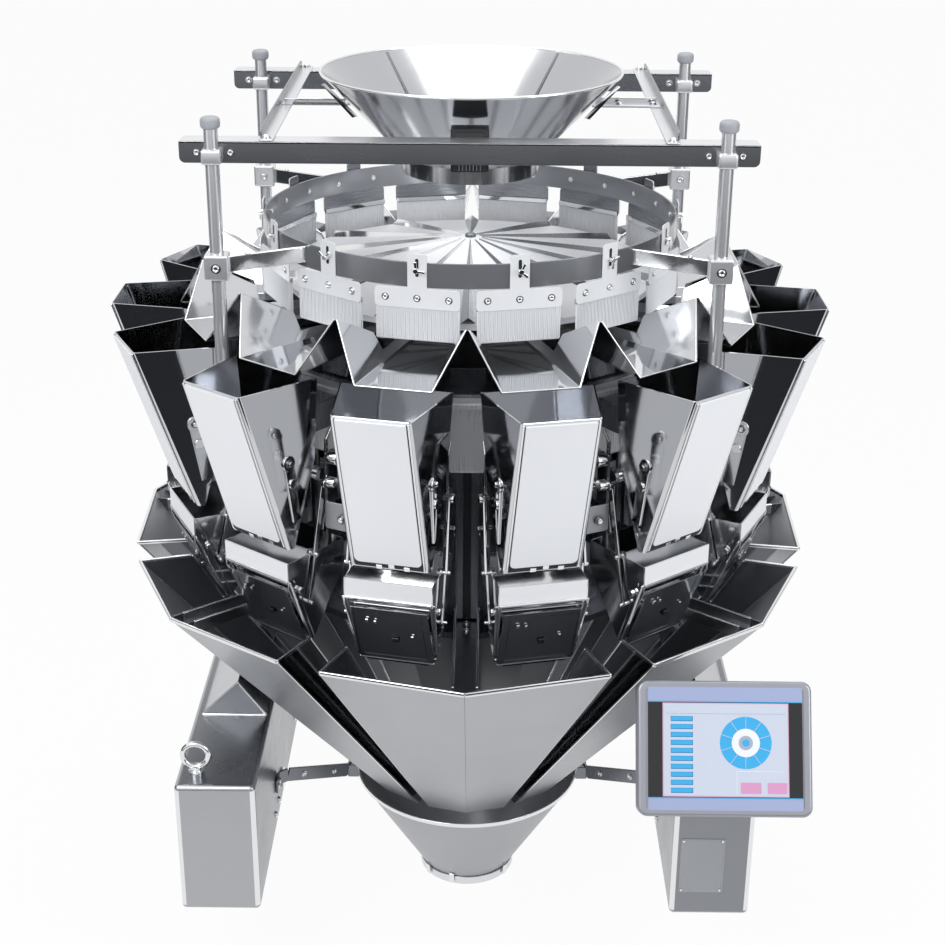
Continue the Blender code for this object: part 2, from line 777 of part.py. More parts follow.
def add_radial_plate(bm, at, outline, half):
    """An upright plate in the plane through the machine's axis and a place."""
    angle = math.atan2(at[0], -at[1])
    turn = Matrix.Rotation(angle, 3, "Z")
    points = [turn @ polar(-half, r, z) for r, z in outline]
    add_prism(bm, points, turn @ Vector((2 * half, 0, 0)))


def rail_face(y):
    """Front face of a rail, let into the clamp block behind its posts."""
    return y + CLAMP_HALF - SINK


def funnel_outer(z):
    """Radius of the infeed funnel's outer face at a height on its slope."""
    share = (z - FUNNEL_RIM + FUNNEL_SLOPE) / FUNNEL_SLOPE
    return SPOUT_RADIUS + share * (FUNNEL_RADIUS - SPOUT_RADIUS)


def make_funnel(axis):
    """The infeed funnel: a cone on a short spout, held by the frame's arms."""
    bm = bmesh.new()
    slant = SHEET * math.sqrt(2)
    neck = FUNNEL_RIM - FUNNEL_SLOPE
    profile = [
        (SPOUT_RADIUS, neck - SPOUT_LENGTH),
        (SPOUT_RADIUS, neck),
        (FUNNEL_RADIUS, FUNNEL_RIM),
        (FUNNEL_RADIUS - slant, FUNNEL_RIM),
        (SPOUT_RADIUS - SHEET, neck),
        (SPOUT_RADIUS - SHEET, neck - SPOUT_LENGTH),
    ]
    add_turned(bm, profile, 48)
    place_mesh("infeed_funnel", make_mesh("infeed_funnel", bm), POLISHED, axis, smooth=True)


def make_brush_ring(axis):
    """A band round the feeders with a tee plate and brush a head, on four post arms."""
    ring, arms, plates, strips = (bmesh.new() for _ in range(4))
    profile = [
        (RING_RADIUS - RING_SHEET, RING_BOTTOM),
        (RING_RADIUS, RING_BOTTOM),
        (RING_RADIUS, RING_TOP),
        (RING_RADIUS - RING_SHEET, RING_TOP),
    ]
    add_turned(ring, profile, DRUM_SIDES)
    for place in post_places():
        add_ring_arm(arms, *place)
    back = RING_RADIUS - SHEET
    tee = [(-PLATE_HALF, PLATE_BOTTOM), (PLATE_HALF, PLATE_BOTTOM), (PLATE_HALF, PLATE_TOP)]
    tee += [(TAB_HALF, PLATE_TOP), (TAB_HALF, TAB_TOP), (-TAB_HALF, TAB_TOP)]
    tee += [(-TAB_HALF, PLATE_TOP), (-PLATE_HALF, PLATE_TOP)]
    add_prism(plates, [polar(t, back + RING_SHEET, z) for t, z in tee], polar(0, -RING_SHEET, 0))
    near = (-BRISTLE_HALF, -back - BRISTLE_DEPTH, BRISTLE_BOTTOM)
    add_box(strips, near, (BRISTLE_HALF, -back + SINK, PLATE_BOTTOM + SINK))
    repeat_round(plates, HEAD_ANGLES)
    repeat_round(strips, HEAD_ANGLES)
    mesh = weld("brush_ring", ring, [arms, plates, strips])
    place_mesh("brush_ring", mesh, POLISHED, axis)


def make_control_panel(axis):
    """The operator's screen box, tilted back on two cheeks from the right base box."""
    turn = Matrix.Rotation(-PANEL_TILT, 3, "X")
    centre = Vector((PANEL_X, PANEL_Y, PANEL_Z))
    box = bmesh.new()
    low = (-PANEL_WIDTH / 2, 0, -PANEL_HEIGHT / 2)
    high = (PANEL_WIDTH / 2, PANEL_DEPTH, PANEL_HEIGHT / 2)
    add_chamfered_box(box, low, high, PANEL_EDGE)
    bmesh.ops.transform(box, matrix=Matrix.Translation(centre) @ turn.to_4x4(), verts=box.verts)
    low_seat = centre + turn @ Vector((0, PANEL_DEPTH - SINK, -PANEL_HEIGHT / 5))
    high_seat = centre + turn @ Vector((0, PANEL_DEPTH - SINK, PANEL_HEIGHT / 3))
    foot = BASE_HEIGHT + GAP
    foot_front = BASE_EDGE * 2 - BASE_HALF_DEPTH
    cheeks = bmesh.new()
    for offset in (-CHEEK_OFFSET, CHEEK_OFFSET):
        x = PANEL_X + offset - CHEEK_SHEET / 2
        outline = [
            Vector((x, foot_front, foot)),
            Vector((x, low_seat.y, low_seat.z)),
            Vector((x, high_seat.y, high_seat.z)),
            Vector((x, foot_front + PANEL_DEPTH, foot)),
        ]
        add_prism(cheeks, outline, Vector((CHEEK_SHEET, 0, 0)))
    place_mesh("control_panel", weld("control_panel", box, [cheeks]), LILAC_GREY, axis)


def add_chamfered_box(bm, low, high, chamfer):
    """A box with every edge chamfered."""
    before = set(bm.edges)
    add_box(bm, low, high)
    fresh = [edge for edge in bm.edges if edge not in before]
    bmesh.ops.bevel(bm, geom=fresh, offset=chamfer, segments=1, affect="EDGES")


def weld(name, bm, others):
    """One closed mesh from solids that overlap, within a mesh and between meshes."""
    made = []
    for piece in (bm, *others):
        obj = bpy.data.objects.new(name, make_mesh(name, piece))
        bpy.context.collection.objects.link(obj)
        made.append(obj)
    for other in made[1:]:
        union = made[0].modifiers.new("weld", "BOOLEAN")
        union.operation = "UNION"
        union.solver = "EXACT"
        union.use_self = True
        union.object = other
    bpy.context.view_layer.update()
    evaluated = made[0].evaluated_get(bpy.context.evaluated_depsgraph_get())
    mesh = bpy.data.meshes.new_from_object(evaluated)
    for obj in made:
        bpy.data.objects.remove(obj, do_unlink=True)
    return mesh


def place_mesh(name, mesh, finish, axis, angle=0.0, smooth=False):
    """Put a finished mesh into the scene at an angle about the machine's axis."""
    mesh.name = name
    mesh.materials.clear()
    mesh.materials.append(make_material(name, finish))
    if smooth:
        mesh.shade_smooth()
        mesh.set_sharp_from_angle(angle=math.radians(35))
    obj = bpy.data.objects.new(name, mesh)
    bpy.context.collection.objects.link(obj)
    obj.parent = axis
    obj.rotation_euler.z = angle
    return obj


def foot_ridge():
    """Height of the foot's ridge: its outer side slopes at 45 degrees."""
    return BASE_HEIGHT + BASE_OUTER - FOOT_SEAM - FOOT_RIDGE_X


def add_drive_unit(bm):
    """A block on the housing's flat, with two rollers at its front."""
    back = flat_radius(HOUSING_RADIUS, HEADS) - SINK
    front = flat_radius(HOUSING_RADIUS, HEADS) + UNIT_DEPTH
    high = UNIT_BOTTOM + UNIT_HEIGHT
    slope = UNIT_DEPTH / 2
    side = [
        polar(-UNIT_HALF, back, UNIT_BOTTOM),
        polar(-UNIT_HALF, front - slope, UNIT_BOTTOM),
        polar(-UNIT_HALF, front, UNIT_BOTTOM + slope),
        polar(-UNIT_HALF, front, high),
        polar(-UNIT_HALF, back, high),
    ]
    add_prism(bm, side, Vector((2 * UNIT_HALF, 0, 0)))
    reach = front + ROLLER_RADIUS / 2
    height = high - 2 * ROLLER_RADIUS
    for t in (-ROLLER_T, ROLLER_T):
        middle = polar(t, reach, height)
        add_rod(bm, middle - polar(ROLLER_HALF, 0, 0), middle + polar(ROLLER_HALF, 0, 0), ROLLER_RADIUS)


def add_chute_arm(bm):
    """A channel from the housing, along its foot plate, out to a chute's middle."""
    low = HOUSING_BOTTOM + HOUSING_PLATE - SINK
    high = low + ARM_HEIGHT
    web = ARM_SHEET
    near = flat_radius(HOUSING_RADIUS, HEADS)
    stations = [
        (-ARM_HALF, low),
        (ARM_HALF, low),
        (ARM_HALF, high),
        (ARM_HALF - web, high),
        (ARM_HALF - web, low + web),
        (web - ARM_HALF, low + web),
        (web - ARM_HALF, high),
        (-ARM_HALF, high),
    ]
    inner_end = [polar(t, near, z) for t, z in stations]
    outer_end = [polar(t, chute_inner(ARM_HALF, z) - GAP, z) for t, z in stations]
    add_loft(bm, [inner_end, outer_end])


def make_feeders(axis):
    """Fourteen vibrating pans on their drives, which stand on one deck ring."""
    deck, drives, floors, walls = bmesh.new(), bmesh.new(), bmesh.new(), bmesh.new()
    low = DRUM_TOP + GAP
    inner, outer = FEEDER_INNER - DECK_MARGIN, FEEDER_OUTER + DECK_MARGIN
    profile = [(inner, low), (outer, low), (outer, low + DECK_SHEET), (inner, low + DECK_SHEET)]
    add_turned(deck, profile, DRUM_SIDES)
    shoulder = low + FEEDER_BLOCK
    slant = FEEDER_BLOCK / 4
    outline = [
        polar(-FEEDER_HALF, FEEDER_INNER, low + DECK_SHEET - SINK),
        polar(-FEEDER_HALF, FEEDER_OUTER, low + DECK_SHEET - SINK),
        polar(-FEEDER_HALF, FEEDER_OUTER - slant, shoulder),
        polar(-FEEDER_HALF, FEEDER_INNER + slant, shoulder),
    ]
    add_prism(drives, outline, Vector((2 * FEEDER_HALF, 0, 0)))
    middle = (FEEDER_INNER + FEEDER_OUTER) / 2
    near = (-STEM_HALF, -middle - STEM_HALF, shoulder - SINK)
    add_box(drives, near, (STEM_HALF, -middle + STEM_HALF, PAN_FLOOR + SINK))
    add_pan_floor(floors)
    add_pan_walls(walls)
    for bm in (drives, floors, walls):
        repeat_round(bm, HEAD_ANGLES)
    place_mesh("feeders", weld("feeders", deck, [drives, floors, walls]), SATIN, axis)


def add_pan_floor(bm):
    """A pan's tapered floor."""
    near = [polar(side * PAN_INNER_HALF, PAN_INNER, PAN_FLOOR) for side in (-1, 1)]
    far = [polar(side * PAN_OUTER_HALF, PAN_OUTER, PAN_FLOOR) for side in (1, -1)]
    add_prism(bm, near + far, Vector((0, 0, SHEET)))


def add_pan_walls(bm):
    """A pan's two flared walls, low under the cone and up to an apex beyond the brushes."""
    outline = [
        wall_point(PAN_INNER, 0),
        wall_point(PAN_OUTER - SINK, 0),
        wall_point(PAN_APEX, PAN_APEX_HEIGHT),
        wall_point(PAN_STEP, PAN_STEP_HEIGHT),
        wall_point(PAN_STEP, PAN_WALL_LOW),
        wall_point(PAN_INNER, PAN_WALL_LOW),
    ]
    add_prism(bm, [point + Vector((0, 0, SINK / 2)) for point in outline], Vector((SHEET, 0, 0)))
    mirror_sides(bm)


def feed_loop(z, front, back, inset):
    """The hopper's outline at a height, in from its faces by a sheet or by nothing."""
    return [
        polar(inset - feed_half(front, z), front - inset, z),
        polar(feed_half(front, z) - inset, front - inset, z),
        polar(feed_half(back, z) - inset, back + inset, z),
        polar(inset - feed_half(back, z), back + inset, z),
    ]


def add_hooks(bm, low, high, near, far):
    """Two radial hook plates that hang a hopper on the body behind it."""
    drop = (high - low) / 3
    for t in (-HOOK_T, HOOK_T):
        outline = [
            polar(t - HOOK_SHEET / 2, near, low),
            polar(t - HOOK_SHEET / 2, far, low + drop),
            polar(t - HOOK_SHEET / 2, far, high),
            polar(t - HOOK_SHEET / 2, near, high),
        ]
        add_prism(bm, outline, Vector((HOOK_SHEET, 0, 0)))


def mirrored(outline):
    """Close a half outline with its mirror image across the head's middle."""
    return outline + [Vector((-point.x, point.y, point.z)) for point in reversed(outline)]


def chute_loop(z):
    """A double chute's folded sheet at a height: side, panel, panel, side, and back inside."""
    turn = CHUTE_HALF_ANGLE
    middle = chute_radius(z)
    corner = CHUTE_CORNER * middle
    share = (z - CHUTE_BOTTOM) / (CHUTE_TOP - CHUTE_BOTTOM)
    wall = CHUTE_WALL_BOTTOM + share * (CHUTE_WALL_TOP - CHUTE_WALL_BOTTOM)
    lean, across = chute_lean()
    fold = middle - across - SHEET * math.sin(turn) + lean * SHEET * math.cos(turn)
    fold /= math.cos(turn) + lean * math.sin(turn)
    inward = Vector((-math.cos(turn), -math.sin(turn), 0)) * SHEET
    outside = [on_arc(turn, corner - wall, z), on_arc(turn, corner, z)]
    inside = [on_arc(turn, fold, z) + inward, on_arc(turn, corner - wall, z) + inward]
    flip = Matrix.Diagonal((-1, 1, 1))
    loop = outside + [polar(0, middle, z)] + [flip @ point for point in reversed(outside)]
    loop += [flip @ point for point in reversed(inside)] + [polar(0, middle - across, z)] + inside
    return loop


def chute_lean():
    """How a chute's panel falls back from its middle fold, and its sheet measured along r."""
    corner = on_arc(CHUTE_HALF_ANGLE, CHUTE_CORNER, 0)
    lean = (1 + corner.y) / corner.x
    fall = (CHUTE_TOP_RADIUS - CHUTE_BOTTOM_RADIUS) / (CHUTE_TOP - CHUTE_BOTTOM)
    return lean, SHEET * math.sqrt(1 + lean ** 2 + fall ** 2)


def add_rail(bm, y):
    """A folded angle across the machine, its flange to the back."""
    face = rail_face(y)
    section = [
        (face, RAIL_BOTTOM),
        (face + RAIL_SHEET, RAIL_BOTTOM),
        (face + RAIL_SHEET, RAIL_TOP - RAIL_SHEET),
        (face + RAIL_DEPTH, RAIL_TOP - RAIL_SHEET),
        (face + RAIL_DEPTH, RAIL_TOP),
        (face, RAIL_TOP),
    ]
    add_prism(bm, [Vector((-RAIL_HALF, y, z)) for y, z in section], Vector((2 * RAIL_HALF, 0, 0)))


def make_overhead_frame(axis):
    """Four capped posts, two rails clamped to them, cross straps, funnel arms and sensor."""
    posts, clamps, rails, straps, arms = (bmesh.new() for _ in range(5))
    for x, y in post_places():
        add_rod(posts, Vector((x, y, POST_FOOT)), Vector((x, y, POST_TOP + SINK)), POST_RADIUS, 16)
        base = Vector((x, y, POST_TOP))
        add_rod(posts, base, base + Vector((0, 0, CAP_HEIGHT)), CAP_RADIUS, 16)
        low = (x - CLAMP_HALF, y - CLAMP_HALF, RAIL_BOTTOM + CLAMP_OVER)
        add_box(clamps, low, (x + CLAMP_HALF, y + CLAMP_HALF, RAIL_TOP - CLAMP_OVER))
    for y in (-POST_Y, POST_Y):
        add_rail(rails, y)
    low = RAIL_TOP - SINK
    start = rail_face(-POST_Y) + SINK
    length = 2 * POST_Y + RAIL_DEPTH - 2 * SINK
    outer = CROSS_X + CROSS_HALF
    section = [
        (CROSS_X - CROSS_HALF, low),
        (outer, low),
        (outer, low + CROSS_UPSTAND),
        (outer - RAIL_SHEET, low + CROSS_UPSTAND),
        (outer - RAIL_SHEET, low + RAIL_SHEET),
        (CROSS_X - CROSS_HALF, low + RAIL_SHEET),
    ]
    add_prism(straps, [Vector((x, start, z)) for x, z in section], Vector((0, length, 0)))
    mirror_sides(straps)
    add_funnel_arms(arms, low + RAIL_SHEET - SINK, outer - RAIL_SHEET - SINK)
    front = rail_face(-POST_Y) + RAIL_DEPTH - SINK
    near = (-SENSOR_HALF, front, SENSOR_BOTTOM)
    add_box(arms, near, (SENSOR_HALF, front + SENSOR_DEPTH, SENSOR_TOP))
    mesh = weld("overhead_frame", posts, [clamps, rails, straps, arms])
    place_mesh("overhead_frame", mesh, SATIN, axis)


def add_funnel_arms(bm, seat, far):
    """Flat arms from the cross straps in to the funnel's slope."""
    top = seat + FUNNEL_ARM_SHEET
    outline = [
        Vector((funnel_outer(seat) + GAP * 2, -FUNNEL_ARM_HALF, seat)),
        Vector((far, -FUNNEL_ARM_HALF, seat)),
        Vector((far, -FUNNEL_ARM_HALF, top)),
        Vector((funnel_outer(top) + GAP * 2, -FUNNEL_ARM_HALF, top)),
    ]
    add_prism(bm, outline, Vector((0, 2 * FUNNEL_ARM_HALF, 0)))
    mirror_sides(bm)


def add_ring_arm(bm, x, y):
    """A collar on a post and a flat arm from it to the brush ring."""
    low, high = RING_ARM_BOTTOM, RING_ARM_BOTTOM + RING_ARM_HEIGHT
    add_collar(bm, (x, y), POST_RADIUS + GAP, CLAMP_HALF, low - CLAMP_OVER, high + CLAMP_OVER)
    target = on_arc(RING_ARM_ANGLE, RING_RADIUS - RING_SHEET / 2, 0)
    end = Vector((math.copysign(target.x, x), math.copysign(target.y, y), low))
    start = Vector((x, y, low))
    along = (end - start).normalized()
    start += along * (CLAMP_HALF - SHEET)
    across = Vector((-along.y, along.x, 0)) * RING_ARM_SHEET / 2
    outline = [start - across, end - across, end + across, start + across]
    add_prism(bm, outline, Vector((0, 0, high - low)))


def main():
    clear_scene()
    axis = bpy.data.objects.new("machine_axis", None)
    bpy.context.collection.objects.link(axis)
    axis.location = (BASE_CENTRE, 0, 0)
    make_bases(axis)
    make_housing(axis)
    make_drum(axis)
    make_feeders(axis)
    make_dispersion_cone(axis)
    make_feed_hoppers(axis)
    make_weigh_hoppers(axis)
    make_weigh_gates(axis)
    make_chutes(axis)
    make_discharge_cone(axis)
    make_overhead_frame(axis)
    make_funnel(axis)
    make_brush_ring(axis)
    make_control_panel(axis)
    bpy.context.view_layer.update()


main()
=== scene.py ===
# %% [markdown]
# A multihead weigher spreads product from a cone over a ring of vibrating pans, which fill
# fourteen feed hoppers. Below each hangs a weigh hopper, and a computer opens the few whose
# weights add up to one pack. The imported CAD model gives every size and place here, and this
# script adds what the eye looks for: rounded folds, hems, brushes, screws, linkages and finishes.

# %% Load the frame
import math
import bpy
from mathutils import Matrix, Vector


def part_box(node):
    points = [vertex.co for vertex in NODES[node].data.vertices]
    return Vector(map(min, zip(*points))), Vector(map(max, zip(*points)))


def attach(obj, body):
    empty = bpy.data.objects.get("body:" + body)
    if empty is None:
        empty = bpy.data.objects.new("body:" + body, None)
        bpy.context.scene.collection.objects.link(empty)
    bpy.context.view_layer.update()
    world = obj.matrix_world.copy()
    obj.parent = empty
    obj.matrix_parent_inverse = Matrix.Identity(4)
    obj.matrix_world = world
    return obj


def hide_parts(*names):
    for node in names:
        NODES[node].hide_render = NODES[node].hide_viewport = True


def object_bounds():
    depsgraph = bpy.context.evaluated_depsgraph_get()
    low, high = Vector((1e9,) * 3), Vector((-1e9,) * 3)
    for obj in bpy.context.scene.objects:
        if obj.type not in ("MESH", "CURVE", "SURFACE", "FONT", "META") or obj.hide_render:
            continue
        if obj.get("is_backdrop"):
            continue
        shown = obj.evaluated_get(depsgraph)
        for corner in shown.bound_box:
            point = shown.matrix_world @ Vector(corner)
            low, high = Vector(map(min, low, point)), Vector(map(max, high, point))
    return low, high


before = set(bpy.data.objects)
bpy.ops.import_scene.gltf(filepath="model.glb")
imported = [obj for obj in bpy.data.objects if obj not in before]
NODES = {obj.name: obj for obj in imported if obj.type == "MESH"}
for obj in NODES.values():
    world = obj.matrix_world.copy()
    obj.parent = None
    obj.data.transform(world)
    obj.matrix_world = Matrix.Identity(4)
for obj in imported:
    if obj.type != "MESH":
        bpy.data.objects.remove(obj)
CAD_BOX = [list(corner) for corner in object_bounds()]
print("CAD box", [[round(value, 3) for value in corner] for corner in CAD_BOX])

# %% [markdown]
# The machine is round, so its pieces are modelled once at the front and turned about its axis.
# The axis stands midway between the two base boxes. In the working position x runs along the
# rim, y is minus the radius, and z is the height.

# %% The axis and the heads
MACHINE = "machine"
HEADS = 14
CHUTES = 7
LEFT_LOW, LEFT_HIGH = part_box("base_left")
RIGHT_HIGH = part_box("base_right")[1]
AXIS = Vector(((LEFT_LOW.x + RIGHT_HIGH.x) / 2, (LEFT_LOW.y + LEFT_HIGH.y) / 2, 0))
HEAD_ANGLES = [(head + 0.5) * 2 * math.pi / HEADS for head in range(HEADS)]
CHUTE_ANGLES = [chute * 2 * math.pi / CHUTES for chute in range(CHUTES)]
BETWEEN_ANGLES = [(chute + 0.5) * 2 * math.pi / CHUTES for chute in range(CHUTES)]
MM = 0.001
SHEET = 2 * MM
OUTWARD = (0, -1, 0)
UPWARD = (0, 0, 1)
print("axis at", tuple(round(value, 4) for value in AXIS))

# %% [markdown]
# Modelling by script goes as it does by hand: add a primitive, pick some corners, edges or
# faces, and run a tool on them. These helpers pick by place or direction and go into edit mode.

# %% Helpers that pick, shape and finish
def along_y(centre, axis):
    return abs(axis.y) > 0.9


def faces_front(centre, normal):
    return normal.y < -0.9


def faces_down(centre, normal):
    return normal.z < -0.9


def activate(obj):
    if bpy.context.mode != "OBJECT":
        bpy.ops.object.mode_set(mode="OBJECT")
    bpy.ops.object.select_all(action="DESELECT")
    obj.select_set(True)
    bpy.context.view_layer.objects.active = obj


def pick(obj, kind, test):
    """Select the corners, edges or faces that pass a test, and enter edit mode."""
    activate(obj)
    mesh = obj.data
    for items in (mesh.vertices, mesh.edges, mesh.polygons):
        items.foreach_set("select", [False] * len(items))
    if kind == "FACE":
        for face in mesh.polygons:
            face.select = test(face.center, face.normal)
    elif kind == "EDGE":
        for edge in mesh.edges:
            start, end = (mesh.vertices[i].co for i in edge.vertices)
            edge.select = test((start + end) / 2, (end - start).normalized())
    else:
        for vert in mesh.vertices:
            vert.select = test(vert.co)
    bpy.context.tool_settings.mesh_select_mode = (kind == "VERT", kind == "EDGE", kind == "FACE")
    bpy.ops.object.mode_set(mode="EDIT")


def leave():
    bpy.ops.object.mode_set(mode="OBJECT")


def shift(obj, test, by):
    """Move the corners that pass a test."""
    pick(obj, "VERT", test)
    bpy.ops.transform.translate(value=by)
    leave()


def extrude(obj, test, by):
    """Push the faces that pass a test out along a vector."""
    pick(obj, "FACE", test)
    bpy.ops.mesh.extrude_region_move(TRANSFORM_OT_translate={"value": by})
    leave()


def soften(obj, test, width, segments=2):
    """Round the edges that pass a test."""
    pick(obj, "EDGE", test)
    bpy.ops.mesh.bevel(offset=width, segments=segments, affect="EDGES")
    leave()


def inset(obj, test, *steps):
    """Inset the faces that pass a test, by each width and depth in turn."""
    pick(obj, "FACE", test)
    for width, depth in steps:
        bpy.ops.mesh.inset(thickness=width, depth=depth)
    leave()


def drop_faces(obj, test):
    pick(obj, "FACE", test)
    bpy.ops.mesh.delete(type="FACE")
    leave()


def modify(obj, kind, **settings):
    """Add a modifier with its settings, and apply it."""
    activate(obj)
    modifier = obj.modifiers.new(kind.lower(), kind)
    for name, value in settings.items():
        setattr(modifier, name, value)
    bpy.ops.object.modifier_apply(modifier=modifier.name)


def thicken(obj, thickness, offset=-1.0):
    """Give an open sheet its thickness."""
    modify(obj, "SOLIDIFY", thickness=thickness, offset=offset, use_even_offset=True)


def round_all(obj, width, segments=2, angle=35):
    """Round every edge sharper than an angle."""
    limit = math.radians(angle)
    modify(obj, "BEVEL", width=width, segments=segments, limit_method="ANGLE", angle_limit=limit)


def added(name):
    """Name the primitive that was just added."""
    bpy.context.object.name = name
    return bpy.context.object


def block(name, low, high):
    """A box between two corners, as the start of a piece."""
    low, high = Vector(low), Vector(high)
    bpy.ops.object.select_all(action="DESELECT")
    bpy.ops.mesh.primitive_cube_add(size=1, location=(low + high) / 2)
    obj = added(name)
    obj.scale = high - low
    return settle(obj)


def drum_blank(name, start, end, radius, sides=16):
    """A round bar between two points, as the start of a piece."""
    start, end = Vector(start), Vector(end)
    bpy.ops.object.select_all(action="DESELECT")
    bpy.ops.mesh.primitive_cylinder_add(
        vertices=sides, radius=radius, depth=(end - start).length, location=(start + end) / 2)
    obj = added(name)
    obj.rotation_mode = "QUATERNION"
    obj.rotation_quaternion = (end - start).to_track_quat("Z", "Y")
    return settle(obj)


def join(name, pieces):
    """Make one object of several."""
    activate(pieces[0])
    for piece in pieces:
        piece.select_set(True)
    bpy.ops.object.join()
    return added(name)


def smooth(obj, angle=46):
    activate(obj)
    bpy.ops.object.shade_smooth_by_angle(angle=math.radians(angle))


def paint(obj, finish):
    obj.data.materials.append(finish)
    return obj


def dress(obj, finish, width=0.0, segments=2, angle=46):
    """Round a piece's edges, give it a finish, and shade its curves smoothly."""
    if width:
        round_all(obj, width, segments)
    smooth(paint(obj, finish), angle)
    return obj


def keep_flats(obj):
    """Shade a large flat face as flat, and leave the turn of the light to its rounded edges."""
    modify(obj, "WEIGHTED_NORMAL", keep_sharp=True)


def face_finish(obj, test, finish):
    """Give the faces that pass a test a finish of their own."""
    obj.data.materials.append(finish)
    for face in obj.data.polygons:
        if test(face.center, face.normal):
            face.material_index = len(obj.data.materials) - 1


def settle(obj):
    """Leave the object at the origin, unturned, with its place in its mesh."""
    activate(obj)
    bpy.ops.object.transform_apply(location=True, rotation=True, scale=True)
    return obj


def place(obj, body=MACHINE, nodes=()):
    """Move a piece from the working position to the machine, and let it ride."""
    obj.location += AXIS
    settle(obj)
    keep_flats(obj)
    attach(obj, body)
    if nodes:
        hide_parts(*nodes)
    return obj


def moved_copy(obj, name, move):
    """A copy with its own mesh, moved by a matrix."""
    twin = obj.copy()
    twin.data = obj.data.copy()
    twin.name = name
    bpy.context.collection.objects.link(twin)
    twin.matrix_world = move @ obj.matrix_world
    return twin


def turned_copy(obj, name, angle):
    """A copy turned about the machine's axis."""
    return moved_copy(obj, name, Matrix.Rotation(angle, 4, "Z"))


def forget(*sources):
    """Remove pieces that were only copied from."""
    for source in sources:
        bpy.data.objects.remove(source, do_unlink=True)


def spread(obj, angles, body=MACHINE, node=""):
    """Copy a finished piece to each angle, as body or node NAME_01, NAME_02 and so on."""
    for count, angle in enumerate(angles, 1):
        twin = turned_copy(obj, f"{obj.name}_{count:02d}", angle)
        rides = f"{body}_{count:02d}" if body != MACHINE else MACHINE
        place(twin, rides, [f"{node}_{count:02d}"] if node else [])
    print(obj.name, len(angles), "copies,", len(obj.data.polygons), "faces each")
    forget(obj)


# %% [markdown]
# The photograph was taken from a little over two and a half metres, slightly right of the
# middle and looking down at twenty-three degrees. The camera was matched to the machine's
# known circles and corners: every rim, post and box edge then falls on its place.

# %% Camera
CAMERA_PLACE = (0.4089, -2.5978, 1.7109)
CAMERA_PITCH = math.radians(90 - 23.054)
CAMERA_TURN = math.radians(0.312)
CAMERA_ROLL = math.radians(0.393)
LENS = 64.81
camera = bpy.data.objects.new("camera", bpy.data.cameras.new("camera"))
bpy.context.collection.objects.link(camera)
camera.data.sensor_width = 36
camera.data.lens = LENS
turn = Matrix.Rotation(CAMERA_TURN, 4, "Z") @ Matrix.Rotation(CAMERA_PITCH, 4, "X")
camera.matrix_world = Matrix.Translation(CAMERA_PLACE) @ turn @ Matrix.Rotation(CAMERA_ROLL, 4, "Z")
bpy.context.scene.camera = camera
print("camera lens", LENS)

# %% [markdown]
# Stainless steel shows its surroundings more than its own colour. A white room makes it pale,
# and broad lamps give the soft bright bands. The world is white where the camera or a mirror
# looks at it, and a little dimmer as a light.

# %% Floor, world and lamps
FLOOR_Z = CAD_BOX[0][2] - 2 * MM
FLOOR_SIZE = 60
FLOOR_WHITE_SHARE = 0.95


def add_node(tree, kind, **values):
    """A shader node with inputs set by name, where Base_Color means Base Color."""
    node = tree.nodes.new("ShaderNode" + kind)
    for name, value in values.items():
        node.inputs[name.replace("_", " ")].default_value = value
    return node


def wire(tree, *links):
    """Link sockets, each link given as node, output, node, input."""
    for source, output, target, entry in links:
        tree.links.new(source.outputs[output], target.inputs[entry])


def add_math(tree, operation, first, second):
    """The result of a sum on a socket and a socket or a number."""
    node = add_node(tree, "Math")
    node.operation = operation
    tree.links.new(first, node.inputs[0])
    if isinstance(second, float):
        node.inputs[1].default_value = second
    else:
        tree.links.new(second, node.inputs[1])
    return node.outputs[0]


def empty_tree(owner):
    owner.use_nodes = True
    owner.node_tree.nodes.clear()
    return owner.node_tree


def make_matt(name, colour):
    """A matt paint, and its tree with the paint and output nodes."""
    material = bpy.data.materials.new(name)
    tree = empty_tree(material)
    matt = add_node(tree, "BsdfDiffuse", Color=(*colour, 1))
    out = add_node(tree, "OutputMaterial")
    wire(tree, (matt, 0, out, "Surface"))
    return material, tree, matt, out


def mix_where(tree, flag, first, second, out):
    """Show the first shader, and the second one where the flag is 1."""
    mix = add_node(tree, "MixShader")
    tree.links.new(flag, mix.inputs[0])
    wire(tree, (first, 0, mix, 1), (second, 0, mix, 2), (mix, 0, out, "Surface"))


def make_floor_finish():
    material, tree, matt, out = make_matt("floor_white", (0.93, 0.93, 0.94))
    glow = add_node(tree, "Emission", Strength=1.0)
    rays = add_node(tree, "LightPath").outputs
    seen = add_math(tree, "MAXIMUM", rays["Is Camera Ray"], rays["Is Glossy Ray"])
    mix_where(tree, add_math(tree, "MULTIPLY", seen, FLOOR_WHITE_SHARE), matt, glow, out)
    return material


def make_world():
    world = bpy.data.worlds.new("studio")
    bpy.context.scene.world = world
    tree = empty_tree(world)
    out = add_node(tree, "OutputWorld")
    room = add_node(tree, "Background", Color=(0.92, 0.95, 1.0, 1), Strength=0.45)
    white = add_node(tree, "Background", Color=(1, 1, 1, 1), Strength=1.0)
    rays = add_node(tree, "LightPath").outputs
    seen = add_math(tree, "MAXIMUM", rays["Is Camera Ray"], rays["Is Glossy Ray"])
    clear = add_math(tree, "MAXIMUM", seen, rays["Is Transmission Ray"])
    mix_where(tree, clear, room, white, out)


